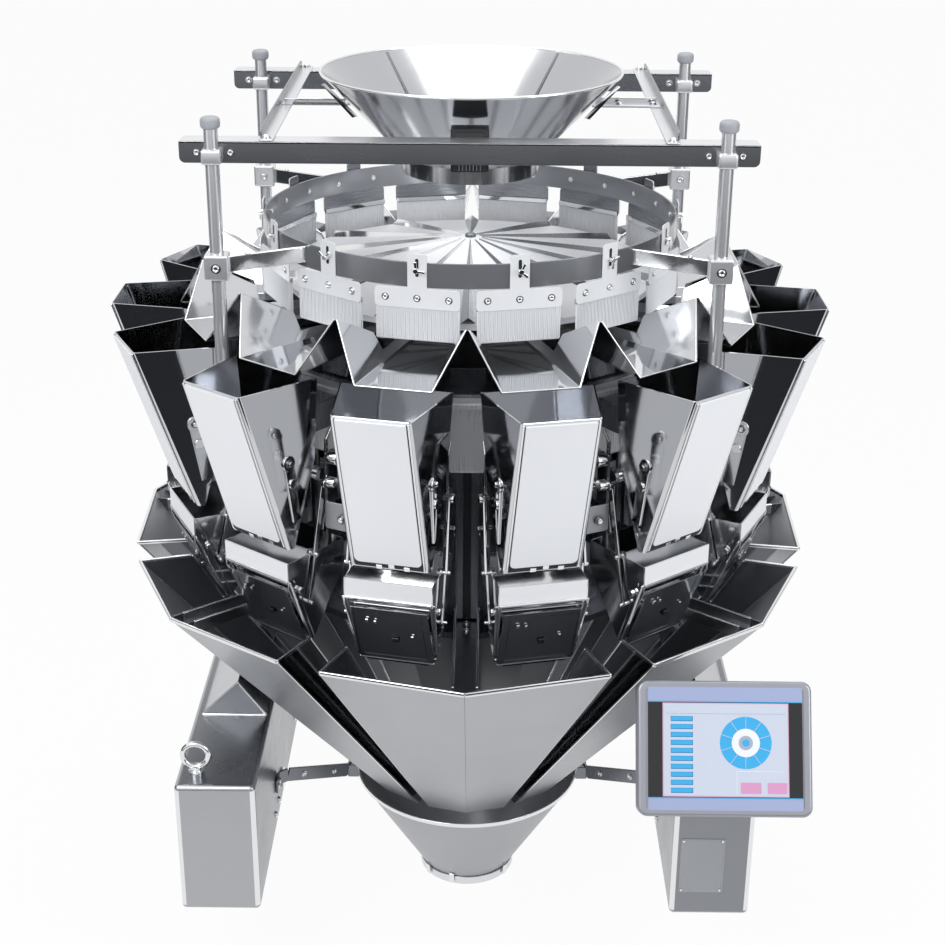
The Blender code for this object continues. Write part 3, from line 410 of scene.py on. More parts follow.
def add_card(name, low, high):
    """A dark card that only mirrors see: it puts the dark streaks into polished steel."""
    card = block(name, low, high)
    round_all(card, 5 * MM, 1)
    card.location = AXIS
    paint(settle(card), make_matt("card_black", (0.03, 0.032, 0.036))[0])
    card.visible_camera = False
    card.visible_diffuse = False
    card.visible_shadow = False
    card.visible_transmission = False
    card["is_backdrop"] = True


def add_lamp(name, place_at, size, power):
    data = bpy.data.lights.new(name, "AREA")
    data.shape = "SQUARE"
    data.size = size
    data.energy = power
    lamp = bpy.data.objects.new(name, data)
    bpy.context.collection.objects.link(lamp)
    lamp.location = AXIS + Vector(place_at)
    lamp.rotation_mode = "QUATERNION"
    lamp.rotation_quaternion = (Vector((0, 0, 0.6)) - Vector(place_at)).to_track_quat("-Z", "Y")


bpy.ops.object.select_all(action="DESELECT")
bpy.ops.mesh.primitive_plane_add(size=FLOOR_SIZE, location=(0, 0, FLOOR_Z))
paint(settle(added("floor")), make_floor_finish())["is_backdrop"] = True
make_world()
add_lamp("key", (-1.6, -2.4, 2.8), 1.6, 55)
add_lamp("fill", (2.4, -1.6, 1.6), 1.4, 28)
add_lamp("top", (0.0, 0.4, 3.2), 1.8, 30)
add_card("card_front", (-4.0, -7.0, FLOOR_Z + 0.01), (4.0, -1.5, FLOOR_Z + 0.03))
add_card("card_left", (-2.6, -1.2, 0.0), (-2.5, 1.6, 1.5))
add_card("card_right", (2.5, -1.2, 0.0), (2.6, 1.6, 1.5))
bpy.context.scene.view_settings.view_transform = "Standard"
print("floor at", round(FLOOR_Z, 4))

# %% [markdown]
# Nearly everything here is stainless sheet. A grain that runs one way breaks up the gloss, so
# a noise pattern stretched along one axis drives the roughness and a faint bump. The colour
# stays the same all over and sits on the shader's own socket.

# %% Steel finishes
def glossy_tree(name, colour, metallic, bump, depth):
    """A new material with its tree, its coordinates, its shader and a bump wired to it."""
    material = bpy.data.materials.new(name)
    tree = empty_tree(material)
    out = add_node(tree, "OutputMaterial")
    shader = add_node(tree, "BsdfPrincipled", Base_Color=(*colour, 1), Metallic=metallic)
    relief = add_node(tree, "Bump", Strength=bump, Distance=depth)
    wire(tree, (relief, "Normal", shader, "Normal"), (shader, 0, out, "Surface"))
    return material, tree, add_node(tree, "TexCoord"), shader, relief


def make_steel(name, colour, low, high, stretch=(1, 1, 0.02), bump=0.02, metallic=1.0):
    """Brushed or polished steel: roughness between two values along a stretched grain."""
    material, tree, place_at, shader, relief = glossy_tree(name, colour, metallic, bump, 0.2 * MM)
    mapping = add_node(tree, "Mapping", Scale=stretch)
    grain = add_node(tree, "TexNoise", Scale=700, Detail=3)
    cloud = add_node(tree, "TexNoise", Scale=9, Detail=4)
    mix = add_node(tree, "Mix", Factor=0.5)
    rough = add_node(tree, "MapRange", From_Min=0.3, From_Max=0.7, To_Min=low, To_Max=high)
    wire(tree, (place_at, "Object", mapping, "Vector"), (mapping, "Vector", grain, "Vector"),
         (place_at, "Object", cloud, "Vector"), (grain, "Fac", mix, "A"), (cloud, "Fac", mix, "B"),
         (mix, "Result", rough, "Value"), (rough, "Result", shader, "Roughness"),
         (grain, "Fac", relief, "Height"))
    return material


ACROSS = (0.02, 0.02, 1)
SATIN = make_steel("satin_sheet", (0.70, 0.71, 0.73), 0.28, 0.40)
POLISHED = make_steel("polished_sheet", (0.62, 0.63, 0.65), 0.06, 0.14, bump=0.005)
DARK = make_steel("dark_satin", (0.20, 0.21, 0.23), 0.22, 0.34)
BRUSHED = make_steel("brushed_box", (0.42, 0.43, 0.45), 0.24, 0.36, stretch=ACROSS)
BRIGHT = make_steel("bright_fittings", (0.78, 0.79, 0.80), 0.08, 0.16, bump=0.005)
# A darker polish for the gates, also used as painted shade on the chutes' side walls.
DEEP_POLISH_AND_SHADE = make_steel("deep_polish_and_painted_shade", (0.36, 0.37, 0.39), 0.06, 0.12, bump=0.004)
SHADOW = make_steel("shadowed_gap", (0.05, 0.055, 0.06), 0.35, 0.50)
MIRROR = make_steel("mirror_sheet", (0.74, 0.75, 0.77), 0.03, 0.08, bump=0.003)
CHUTE_STEEL = make_steel("chute_sheet", (0.42, 0.43, 0.45), 0.34, 0.44, metallic=0.6)
DRUM_STEEL = make_steel("drum_sheet", (0.86, 0.87, 0.89), 0.24, 0.34, metallic=0.25)
RING_STEEL = make_steel("ring_sheet", (0.30, 0.31, 0.33), 0.16, 0.24, metallic=0.6)
POST_STEEL = make_steel("post_tube", (0.74, 0.75, 0.77), 0.16, 0.24, metallic=0.7)
# Dark steel for the rails' upright faces and the straps' flanges, painted dark as shade.
UPRIGHT_PAINTED_SHADE = make_steel("upright_painted_shade", (0.20, 0.21, 0.23), 0.20, 0.30, stretch=(0.02, 1, 1))
FUNNEL_STEEL = make_steel("funnel_sheet", (0.50, 0.51, 0.53), 0.12, 0.20, bump=0.008)
BUCKET_STEEL = make_steel("bucket_sheet", (0.60, 0.61, 0.63), 0.04, 0.09, bump=0.004)
# Box finishes that paint shade: a darker grey for the right box's front, and a dark grey for box tops, inner
# sides and the backs of the tee plates.
BOX_FRONT_PAINTED_SHADE = make_steel("box_front_painted_shade", (0.26, 0.27, 0.29), 0.26, 0.38, stretch=ACROSS)
DARK_PAINTED_SHADE = make_steel("dark_painted_shade", (0.24, 0.25, 0.27), 0.22, 0.34, stretch=ACROSS)
FOOT_STEEL = make_steel("foot_sheet", (0.46, 0.47, 0.49), 0.16, 0.26)
COVER_STEEL = make_steel("cover_sheet", (0.86, 0.87, 0.89), 0.42, 0.52, metallic=0.3)
print("steel finishes ready")

# %% [markdown]
# Plastics and paint are simpler: a plain colour, with a fine orange-peel bump and some spread
# in gloss so that no surface is perfectly even.

# %% Paint and plastic finishes
def make_plain(name, colour, low, high, bump=0.03, scale=300, metallic=0.0):
    material, tree, place_at, shader, relief = glossy_tree(name, colour, metallic, bump, 0.3 * MM)
    peel = add_node(tree, "TexNoise", Scale=scale)
    rough = add_node(tree, "MapRange", To_Min=low, To_Max=high)
    wire(tree, (place_at, "Object", peel, "Vector"), (peel, "Fac", rough, "Value"),
         (rough, "Result", shader, "Roughness"), (peel, "Fac", relief, "Height"))
    return material


def make_screen(name, colour, low=0.22, high=0.30):
    return make_plain(f"screen_{name}", colour, low, high, bump=0.0)


BEZEL = make_plain("lilac_grey_paint", (0.33, 0.34, 0.38), 0.28, 0.40, metallic=0.5)
BLACK = make_plain("black_plastic", (0.012, 0.013, 0.015), 0.30, 0.45)
CAP_GREY = make_plain("grey_cap_plastic", (0.36, 0.37, 0.40), 0.40, 0.55)
NYLON = make_plain("white_bristles", (0.86, 0.87, 0.89), 0.45, 0.60, bump=0.2, scale=900)
GLASS = make_plain("dark_glass", (0.02, 0.022, 0.025), 0.05, 0.08, bump=0.0)
PLATE = make_plain("etched_plate", (0.33, 0.34, 0.36), 0.40, 0.50, metallic=0.3)
SCREEN_STRIP = make_screen("strip", (0.36, 0.42, 0.63), 0.20, 0.28)
SCREEN_BLACK = make_screen("black", (0.010, 0.011, 0.013), 0.12, 0.18)
SCREEN_PINK = make_screen("border", (0.72, 0.42, 0.55))
SCREEN_PALE = make_screen("pale", (0.60, 0.65, 0.76))
SCREEN_GREY = make_screen("grey", (0.40, 0.44, 0.54))
SCREEN_BLUE = make_screen("blue", (0.045, 0.42, 0.78))
SCREEN_DEEP = make_screen("deep", (0.02, 0.20, 0.46))
SCREEN_WHITE = make_screen("white", (0.85, 0.88, 0.92))
SCREEN_KEY = make_screen("key", (0.70, 0.33, 0.56))
print("paint and plastic ready")

# %% [markdown]
# The housing is the one CAD node that stays in view. The others are replaced further down, and
# every node takes the housing's dark satin.

# %% Finish on the CAD nodes
for node in NODES.values():
    node.data.materials.clear()
    node.data.materials.append(DARK)
print(len(NODES), "nodes finished")

# %% [markdown]
# A feed hopper is a bucket folded from one sheet: its front leans in towards the foot and its
# sides spread towards the back. It starts as a box whose corners are moved, and the part below
# the bend is an extrusion. The two front folds are bevelled edges, and Solidify gives the wall.

# %% Feed hopper bucket
def head_point(t, radius, z):
    """A point in the working position at the front: along the rim, out, and up."""
    return Vector((t, -radius, z))


def bar(name, start, end, width, height, finish, edge=0.5 * MM, up=UPWARD):
    """A rounded flat bar between two points."""
    start, end, up = Vector(start), Vector(end), Vector(up)
    along = (end - start).normalized()
    if abs(along.dot(up)) > 0.99:
        up = Vector((0, -1, 0))
    side = up.cross(along).normalized()
    top = along.cross(side)
    length = (end - start).length
    obj = block(name, (-length / 2, -width / 2, -height / 2), (length / 2, width / 2, height / 2))
    if edge:
        round_all(obj, edge)
    turn = Matrix((along, side, top)).transposed().to_4x4()
    obj.matrix_world = Matrix.Translation((start + end) / 2) @ turn
    return dress(settle(obj), finish)


def pin(name, start, end, radius, finish, sides=16):
    """A round bar with eased ends."""
    return dress(drum_blank(name, start, end, radius, sides), finish, min(radius / 4, 0.8 * MM))


FEED_TOP, FEED_BEND, FEED_FOOT = 0.910, 0.790, 0.6565
FEED_BACK, FEED_TIP = 0.433, 0.468
FEED_FRONT_TOP, FEED_FRONT_FOOT = 0.560, 0.479
FEED_HALF_TOP, FEED_HALF_BEND, FEED_HALF_FOOT = 0.0545, 0.0565, 0.0585
FEED_BACK_HALF_TOP, FEED_BACK_HALF_BEND, FEED_BACK_HALF_FOOT = 0.080, 0.0707, 0.0590
FEED_MIDDLE = -(FEED_BACK + FEED_FRONT_TOP) / 2
FEED_MIDDLE_FOOT = -(FEED_BACK + FEED_FRONT_FOOT) / 2
FEED_LEAN = math.atan2(FEED_FRONT_TOP - FEED_FRONT_FOOT, FEED_TOP - FEED_FOOT)
FOLD = 5 * MM
HOOK_HALF, HOOK_T = 1.5 * MM, 0.022


def fit(obj, test, half=None, radius=None):
    """Move the picked corners to a half width and to a radius."""
    pick(obj, "VERT", test)
    chosen = [vert.co.copy() for vert in obj.data.vertices if vert.select]
    if half:
        bpy.ops.transform.resize(value=(half / abs(chosen[0].x), 1, 1), center_override=(0, 0, 0))
    if radius:
        bpy.ops.transform.translate(value=(0, -radius - chosen[0].y, 0))
    leave()


def feed_front(z):
    """Radius of the bucket's leaning front at a height."""
    return FEED_FRONT_FOOT + (z - FEED_FOOT) * math.tan(FEED_LEAN)


def near_bend(co):
    return co.z < FEED_BEND + MM


def near_foot(co):
    return co.z < FEED_FOOT + MM


def front_fold(centre, axis):
    return abs(axis.z) > 0.9 and centre.y < -0.472 and abs(centre.x) > 0.04


feed_low = head_point(-FEED_HALF_TOP, FEED_FRONT_TOP, FEED_BEND)
feed = block("feed_bucket", feed_low, head_point(FEED_HALF_TOP, FEED_BACK, FEED_TOP))
fit(feed, lambda co: co.y > FEED_MIDDLE and not near_bend(co), FEED_BACK_HALF_TOP)
fit(feed, lambda co: co.y > FEED_MIDDLE and near_bend(co), FEED_BACK_HALF_BEND)
fit(feed, lambda co: co.y < FEED_MIDDLE and near_bend(co), FEED_HALF_BEND, feed_front(FEED_BEND))
extrude(feed, faces_down, (0, 0, FEED_FOOT - FEED_BEND))
fit(feed, lambda co: near_foot(co) and co.y < FEED_MIDDLE, FEED_HALF_FOOT, FEED_FRONT_FOOT)
fit(feed, lambda co: near_foot(co) and co.y > FEED_MIDDLE_FOOT, FEED_BACK_HALF_FOOT, FEED_TIP)
drop_faces(feed, lambda centre, normal: normal.z > 0.9)
soften(feed, front_fold, FOLD, 4)
thicken(feed, SHEET)
smooth(feed)
paint(feed, BUCKET_STEEL)
print("bucket", len(feed.data.polygons), "faces")

# %% [markdown]
# A flat cover lies on the front between the folds, and ends above the foot with two round
# corners. Under it a dark slot shows, bridged by small bright tabs. These pieces are made
# upright and flat, and then leaned back with the front.

# %% Feed hopper cover, slot and tabs
COVER_FOOT = 11 * MM
COVER_HALF = 0.0485


def lean(obj, angle, radius, z, along=0.0):
    """Tip a flat upright piece outwards and move its foot to a radius and height."""
    obj.rotation_euler.x = angle
    obj.location = (along, -radius, z)
    return settle(obj)


def leaning_plate(name, half, low, high, proud, finish, along=0.0, corner=0.0):
    """A plate on the bucket's front between two heights."""
    length = (high - low) / math.cos(FEED_LEAN)
    plate = block(name, (-half, -proud, 0), (half, 0.3 * MM, length))
    if corner:
        soften(plate, lambda centre, axis: along_y(centre, axis) and centre.z < MM, corner, 4)
    dress(plate, finish, min(proud / 3, 0.5 * MM))
    return lean(plate, FEED_LEAN, feed_front(low), low, along)


cover = leaning_plate(
    "cover", COVER_HALF, FEED_FOOT + COVER_FOOT, FEED_TOP - 3 * MM, 3.2 * MM, COVER_STEEL, corner=8 * MM)
slot = leaning_plate("slot", COVER_HALF + MM, FEED_FOOT + 2 * MM, FEED_TOP - 4 * MM, 0.8 * MM, SHADOW)
tabs = []
for t in (-COVER_HALF - 3 * MM, COVER_HALF + 3 * MM):
    ends = [head_point(t, feed_front(z) + MM, z) for z in (FEED_FOOT + 4 * MM, FEED_TOP - 2 * MM)]
    tabs.append(bar("fold_line", *ends, 3 * MM, 3 * MM, BRIGHT, MM, up=OUTWARD))
for along, low in ((0.004, 3.5), (-0.014, 0.5), (0.026, 0.5)):
    foot = FEED_FOOT + low * MM
    tabs.append(leaning_plate("tab", 4.5 * MM, foot, foot + 7 * MM, 2.4 * MM, BRIGHT, along))


def wall_half(radius, z):
    """Half width of the bucket at a radius and height."""
    share = (FEED_TOP - z) / (FEED_TOP - FEED_FOOT)
    front_half = FEED_HALF_TOP + share * (FEED_HALF_FOOT - FEED_HALF_TOP)
    flare = (FEED_BACK_HALF_TOP - FEED_HALF_TOP) / (FEED_FRONT_TOP - FEED_BACK) * (1 - share)
    return front_half + flare * (feed_front(z) - radius)


def gate_lever(side):
    """The lever on a bucket's side: a finger with a round top, a pad, and a bolt as its pivot."""
    out = Vector((side, 0, 0))
    ends = []
    for radius, z in ((0.478, 0.792), (0.462, 0.700)):
        ends.append(head_point(side * (wall_half(radius, z) + 2.6 * MM), radius, z))
    pivot, middle = ends[0], ends[0].lerp(ends[1], 0.35)
    finger = bar("finger", *ends, 0.019, 3 * MM, POLISHED, MM, up=out)
    disc = pin("lever_top", pivot - out * 1.6 * MM, pivot + out * 1.6 * MM, 0.0115, POLISHED, 24)
    pad = pin("lever_pad", middle + out * MM, middle + out * 4 * MM, 0.0075, BRIGHT, 20)
    washer = pin("lever_washer", pivot + out * MM, pivot + out * 3 * MM, 0.0062, DARK, 20)
    bolt = pin("lever_bolt", pivot + out * 2 * MM, pivot + out * 6 * MM, 0.0042, BRIGHT, 6)
    return [finger, disc, pad, washer, bolt]


def hook_pair(outer, inner, low, high):
    """The two hooks behind a hopper, between two radii and two heights."""
    pair = []
    for t in (-HOOK_T, HOOK_T):
        hook = block("hook", (t - HOOK_HALF, -outer, low), (t + HOOK_HALF, -inner, high))
        pair.append(paint(hook, DARK))
    return pair


hooks = hook_pair(FEED_BACK, 0.3345, 0.800, 0.842)
for hook in hooks:
    round_all(hook, 0.5 * MM, 1)
feed = join("feed_bucket", [feed, cover, slot, *tabs, *hooks, *gate_lever(-1), *gate_lever(1)])
spread(feed, HEAD_ANGLES, node="feed_hopper")

# %% [markdown]
# A weigh hopper hangs below each feed hopper. An upright band joins two V-shaped sides whose
# front edges are folded to bright flanges, and a pin through both carries the gate.

# %% Weigh hopper sides and back
WEIGH_TOP, WEIGH_BEND, WEIGH_FOOT = 0.640, 0.600, 0.4975
WEIGH_FRONT, WEIGH_BACK = 0.489, 0.372
WEIGH_HALF, WEIGH_HALF_FOOT = 0.065, 0.058
WEIGH_TIP_FRONT, WEIGH_TIP_BACK = 0.4415, 0.4335
WEIGH_MIDDLE = -0.43
BAND_FOOT = 0.611
HINGE_RADIUS, HINGE_Z = 0.468, 0.592


def at_tip(co):
    return co.z < WEIGH_FOOT + MM


def weigh_side(side):
    inner, outer = sorted((side * (WEIGH_HALF - SHEET), side * WEIGH_HALF))
    wall = block("weigh_side", (inner, -WEIGH_FRONT, WEIGH_BEND), (outer, -WEIGH_BACK, WEIGH_TOP))
    extrude(wall, faces_down, (0, 0, WEIGH_FOOT - WEIGH_BEND))
    sideways = -side * (WEIGH_HALF - WEIGH_HALF_FOOT)
    front_in, back_out = WEIGH_FRONT - WEIGH_TIP_FRONT, WEIGH_BACK - WEIGH_TIP_BACK
    shift(wall, lambda co: at_tip(co) and co.y < WEIGH_MIDDLE, (sideways, front_in, 0))
    shift(wall, lambda co: at_tip(co) and co.y > WEIGH_MIDDLE, (sideways, back_out, 0))
    return dress(wall, POLISHED, 0.5 * MM, 1)


def weigh_flange(side, back_off, width):
    """The folded front edge of a side, from the band down to the tip."""
    start = (side * (WEIGH_HALF - MM), back_off - WEIGH_FRONT + 2 * MM, BAND_FOOT)
    end = (side * (WEIGH_HALF_FOOT - MM), back_off - WEIGH_TIP_FRONT, WEIGH_FOOT + MM)
    return bar("flange", start, end, width, 2.6 * MM, BRIGHT, MM, up=OUTWARD)


back_plate = block("weigh_back", (-0.064, -WEIGH_BACK - SHEET, WEIGH_BEND), (0.064, -WEIGH_BACK, WEIGH_TOP))
extrude(back_plate, faces_down, (0, 0, WEIGH_FOOT - WEIGH_BEND))
fit(back_plate, at_tip, half=WEIGH_HALF_FOOT)
shift(back_plate, at_tip, (0, WEIGH_BACK - WEIGH_TIP_BACK, 0))
paint(back_plate, POLISHED)
weigh = [back_plate]
for side in (-1, 1):
    weigh += [weigh_side(side), weigh_flange(side, 0, 8 * MM), weigh_flange(side, 9 * MM, 3 * MM)]
print("weigh hopper has", len(weigh), "pieces so far")

# %% [markdown]
# The band across the front is a flat sheet with its lower edge rolled outwards. The roll
# catches the light as one bright line.

# %% Weigh hopper band, pin and hooks
def hinge_pin(name, start, end, radius, finish, sides=16):
    """A round bar on the gate's axis between two places along the rim."""
    ends = [head_point(t, HINGE_RADIUS, HINGE_Z) for t in (start, end)]
    return pin(name, *ends, radius, finish, sides)


band_back = -WEIGH_FRONT + SHEET
band = block("weigh_band", (-WEIGH_HALF, -WEIGH_FRONT, BAND_FOOT), (WEIGH_HALF, band_back, WEIGH_TOP))
soften(band, lambda centre, axis: abs(axis.z) > 0.9 and centre.y < -WEIGH_FRONT + 0.1 * MM, 1.5 * MM, 3)
dress(band, COVER_STEEL)
roll_ends = [head_point(t, WEIGH_FRONT, BAND_FOOT) for t in (-0.063, 0.063)]
roll = pin("roll", *roll_ends, 2.4 * MM, BRIGHT, 12)
weigh += [band, roll, hinge_pin("gate_pin", -0.066, 0.066, 3 * MM, BRIGHT)]
for side in (-1, 1):
    weigh.append(hinge_pin("nut", side * 0.0655, side * 0.071, 5.5 * MM, BRIGHT, 6))
weigh += hook_pair(0.373, 0.2935, 0.606, 0.634)
spread(join("weigh_body", weigh), HEAD_ANGLES, node="weigh_hopper")

# %% [markdown]
# The gate closes the weigh hopper from the front and swings out on its pin. It is a dark polished
# flap with a pressed panel and a few fittings, rolled round the pin. Each rides on its own body.

# %% Weigh gate
GATE_LEAN = math.radians(22.25)
GATE_HALF, GATE_LENGTH, GATE_SHEET = 0.056, 0.111, 1.5 * MM
GATE_FOOT_RADIUS, GATE_FOOT_Z = 0.4453, 0.4937

flap = block("weigh_flap", (-GATE_HALF, -GATE_SHEET, 0), (GATE_HALF, 0, GATE_LENGTH))
soften(flap, lambda centre, axis: along_y(centre, axis) and centre.z < MM, 6 * MM, 3)
inset(flap, faces_front, (9 * MM, 0), (1.2 * MM, -0.9 * MM))
dress(flap, DEEP_POLISH_AND_SHADE, 0.3 * MM, 1)
lean(flap, GATE_LEAN, GATE_FOOT_RADIUS, GATE_FOOT_Z)
knuckle = hinge_pin("knuckle", -GATE_HALF, GATE_HALF, 5.6 * MM, DEEP_POLISH_AND_SHADE)
web = bar("web", (0, -0.4722, 0.5903), (0, -0.4835, 0.5857), 2 * GATE_HALF, 1.6 * MM, DEEP_POLISH_AND_SHADE)
lip = bar("lip", (-GATE_HALF, -0.4462, 0.4945), (GATE_HALF, -0.4462, 0.4945), 3 * MM, 3 * MM, BRIGHT, MM)
# In millimetres: place along the rim, drop below the pin, half width and height of each fitting.
FITTINGS = [(-34, 22, 2.5, 7, BRIGHT), (-22, 24, 2, 6, BRIGHT), (4, 58, 5, 9, BLACK), (30, 50, 2, 2, BRIGHT)]
fittings = []
for along, drop, half, tall, finish in FITTINGS:
    top = GATE_LENGTH - drop * MM
    fitting = block("gate_fitting", ((along - half) * MM, -4 * MM, top - tall * MM),
                    ((along + half) * MM, -GATE_SHEET + 0.2 * MM, top))
    dress(fitting, finish, 0.9 * MM)
    fittings.append(lean(fitting, GATE_LEAN, GATE_FOOT_RADIUS, GATE_FOOT_Z))
gate = join("weigh_flap", [flap, knuckle, web, lip, *fittings])
spread(gate, HEAD_ANGLES, body="weigh_gate", node="weigh_gate")

# %% [markdown]
# Between the hoppers the linkages show: flat push rods and links on round pins, driven from
# the units on the housing. One set on each side of a head is joined and copied round.

# %% Linkages
def link(name, side, start, end, width, thick, finish):
    """A flat link whose ends are given as (t, radius, z) on one side of the head."""
    points = [head_point(side * t, radius, z) for t, radius, z in (start, end)]
    return bar(name, *points, width, thick, finish, 0.8 * MM, up=(side, 0, 0))


def cross_pin(side, t_low, t_high, radius_at, z, radius, finish, sides=14):
    ends = [head_point(side * t, radius_at, z) for t in (t_low, t_high)]
    return pin("cross_pin", *ends, radius, finish, sides)


# Name, start and end as (t, radius, z), width, thickness and finish.
LINKS = [
    ("push_rod", (0.066, 0.405, 0.808), (0.066, 0.405, 0.690), 6 * MM, 3.4 * MM, BRIGHT),
    ("rod_hook", (0.066, 0.405, 0.806), (0.066, 0.393, 0.822), 5 * MM, 3.4 * MM, BRIGHT),
    ("long_link", (0.071, 0.418, 0.748), (0.073, 0.442, 0.640), 8 * MM, 3.6 * MM, BRIGHT),
    ("short_link", (0.062, 0.398, 0.744), (0.064, 0.412, 0.668), 8 * MM, 4.4 * MM, BRIGHT),
    ("lower_link", (0.070, 0.436, 0.640), (0.069, 0.452, 0.566), 7 * MM, 3.6 * MM, BRIGHT),
    ("drive_arm", (0.050, 0.300, 0.694), (0.066, 0.412, 0.700), 13 * MM, 4 * MM, DARK),
    ("guide", (0.058, 0.396, 0.690), (0.058, 0.396, 0.628), 9 * MM, 3 * MM, DARK),
]
# Start and end along the rim, radius from the axis, height, the bar's radius, finish and sides.
CROSS_PINS = [
    (0.056, 0.078, 0.418, 0.746, 3.2 * MM, BRIGHT),
    (0.056, 0.077, 0.408, 0.696, 3.0 * MM, BRIGHT),
    (0.058, 0.078, 0.440, 0.641, 3.2 * MM, BRIGHT),
    (0.060, 0.076, 0.452, 0.568, 2.6 * MM, BRIGHT),
    (0.072, 0.078, 0.418, 0.746, 7 * MM, BRIGHT, 20),
    (0.060, 0.066, 0.440, 0.641, 6 * MM, POLISHED, 20),
    (0.024, 0.038, 0.324, 0.703, 11.5 * MM, BRIGHT, 28),
    (0.020, 0.044, 0.324, 0.703, 4 * MM, BRIGHT, 6),
]


def make_linkage(side):
    parts = [link(name, side, *row) for name, *row in LINKS]
    parts += [cross_pin(side, *row) for row in CROSS_PINS]
    return join("linkage", parts)


spread(join("linkage", [make_linkage(-1), make_linkage(1)]), HEAD_ANGLES)

# %% [markdown]
# Between every second pair of heads a bracket stands out from the housing. Two rollers turn
# between its cheeks, and a plate with a round boss closes it below. Elsewhere only the folded
# seams of the housing show, as two upright flanges with a dark gap.

# %% Roller brackets and housing seams
ROLLER_PINS = [
    (0.004, 0.019, 0.410, 0.782, 0.0115, MIRROR, 32),
    (0.0005, 0.006, 0.410, 0.782, 0.0070, DARK, 20),
    (0.020, 0.0255, 0.410, 0.782, 4.6 * MM, BRIGHT, 6),
    (0.006, 0.018, 0.418, 0.746, 8.0 * MM, BRIGHT, 24),
    (0.020, 0.0250, 0.418, 0.746, 3.8 * MM, BRIGHT, 20),
]
BOSS_AT = (0.006, 0.694)
CHEEK_REACH = (0.690, 0.790)
SEAM_REACH = (0.494, 0.742)


def front_pin(name, outer, inner, radius, finish, sides):
    """A round bar pointing out from the bracket's face, at the boss."""
    t, z = BOSS_AT
    return pin(name, head_point(t, outer, z), head_point(t, inner, z), radius, finish, sides)


def upright(name, t, radius, heights, *look):
    """A bar from one height to another, with a bar's width, thickness, finish, edge and direction."""
    return bar(name, *[head_point(t, radius, z) for z in heights], *look)


def make_roller_bracket():
    parts = [bar("bracket_arm", (0, -0.295, 0.700), (0, -0.420, 0.700), 0.030, 5 * MM, DARK, MM)]
    for side in (-1, 1):
        look = (0.030, 2.4 * MM, POLISHED, MM, (1, 0, 0))
        parts.append(upright("cheek", side * 0.0215, 0.404, CHEEK_REACH, *look))
        parts += [cross_pin(side, *row) for row in ROLLER_PINS]
    face = block("bracket_face", (-0.0235, -0.4215, 0.674), (0.0235, -0.4185, 0.716))
    soften(face, along_y, 4 * MM, 3)
    parts.append(dress(face, CHUTE_STEEL, 0.8 * MM))
    parts.append(front_pin("boss", 0.420, 0.4265, 7 * MM, DARK, 24))
    parts.append(front_pin("stud", 0.426, 0.4295, 4 * MM, BRIGHT, 16))
    return join("roller_bracket", parts)


def make_seam():
    parts = []
    for t in (-0.0115, 0.0115):
        parts.append(upright("seam_flange", t, 0.3045, SEAM_REACH, 0.013, 5 * MM, DARK, 1.5 * MM, OUTWARD))
    parts.append(upright("seam_gap", 0, 0.3005, SEAM_REACH, 0.012, 3 * MM, SHADOW, MM, OUTWARD))
    return join("housing_seam", parts)


spread(make_roller_bracket(), BETWEEN_ANGLES)
spread(make_seam(), CHUTE_ANGLES)

# %% [markdown]
# Screws are modelled once: a washer, a domed head, and a socket sunk into it by an inset and
# an extrusion. Every copy is turned to its own direction, and a piece keeps its screws.

# %% Screws
def make_screw():
    head = drum_blank("screw", (0, 0, 0), (0, 0, 2.6 * MM), 3.6 * MM, 12)
    pick(head, "FACE", lambda centre, normal: normal.z > 0.9)
    bpy.ops.mesh.inset(thickness=1.5 * MM)
    bpy.ops.mesh.extrude_region_move(TRANSFORM_OT_translate={"value": (0, 0, -1.3 * MM)})
    leave()
    round_all(head, 0.5 * MM, 1, 60)
    washer = drum_blank("washer", (0, 0, 0), (0, 0, 0.8 * MM), 5 * MM, 16)
    screw = join("screw", [paint(head, BRIGHT), paint(washer, POLISHED)])
    smooth(screw)
    screw.hide_render = True
    return screw


SCREW = make_screw()


def screw_at(at, direction, scale=1.0):
    """A copy of the screw, standing at a point and pointing along a direction."""
    turn = Vector(direction).to_track_quat("Z", "Y").to_matrix().to_4x4()
    twin = moved_copy(SCREW, "screw_copy", Matrix.Translation(Vector(at)) @ turn @ Matrix.Scale(scale, 4))
    twin.hide_render = False
    return settle(twin)


def polar(angle, radius, z):
    """A point at an angle from the front towards the right, about the axis."""
    return Vector((radius * math.sin(angle), -radius * math.cos(angle), z))


print("screw has", len(SCREW.data.polygons), "faces")

# %% [markdown]
# Each chute serves two heads. The CAD sheet keeps its folds, and a rolled hem follows its top
# edge, its two front folds and the free edges of its side walls. Bars between the corners are
# enough, because every edge of a folded sheet is straight.

# %% Chute hems
CHUTE_TOP, CHUTE_FOOT = 0.512, 0.055
CHUTE_RADIUS_TOP, CHUTE_RADIUS_FOOT = 0.565, 0.176
CHUTE_CORNER = 0.9708
CHUTE_HALF_ANGLE = math.radians(22)
CHUTE_WALL_TOP, CHUTE_WALL_FOOT = 0.085, 0.030


def chute_point(side, z, wall_in=0.0, inset=0.0):
    """The corner between a chute's panel and side wall, or a point in along the wall."""
    share = (z - CHUTE_FOOT) / (CHUTE_TOP - CHUTE_FOOT)
    radius = CHUTE_CORNER * (CHUTE_RADIUS_FOOT + share * (CHUTE_RADIUS_TOP - CHUTE_RADIUS_FOOT))
    wall = CHUTE_WALL_FOOT + share * (CHUTE_WALL_TOP - CHUTE_WALL_FOOT)
    return polar(side * CHUTE_HALF_ANGLE, radius - wall * wall_in - inset, z)


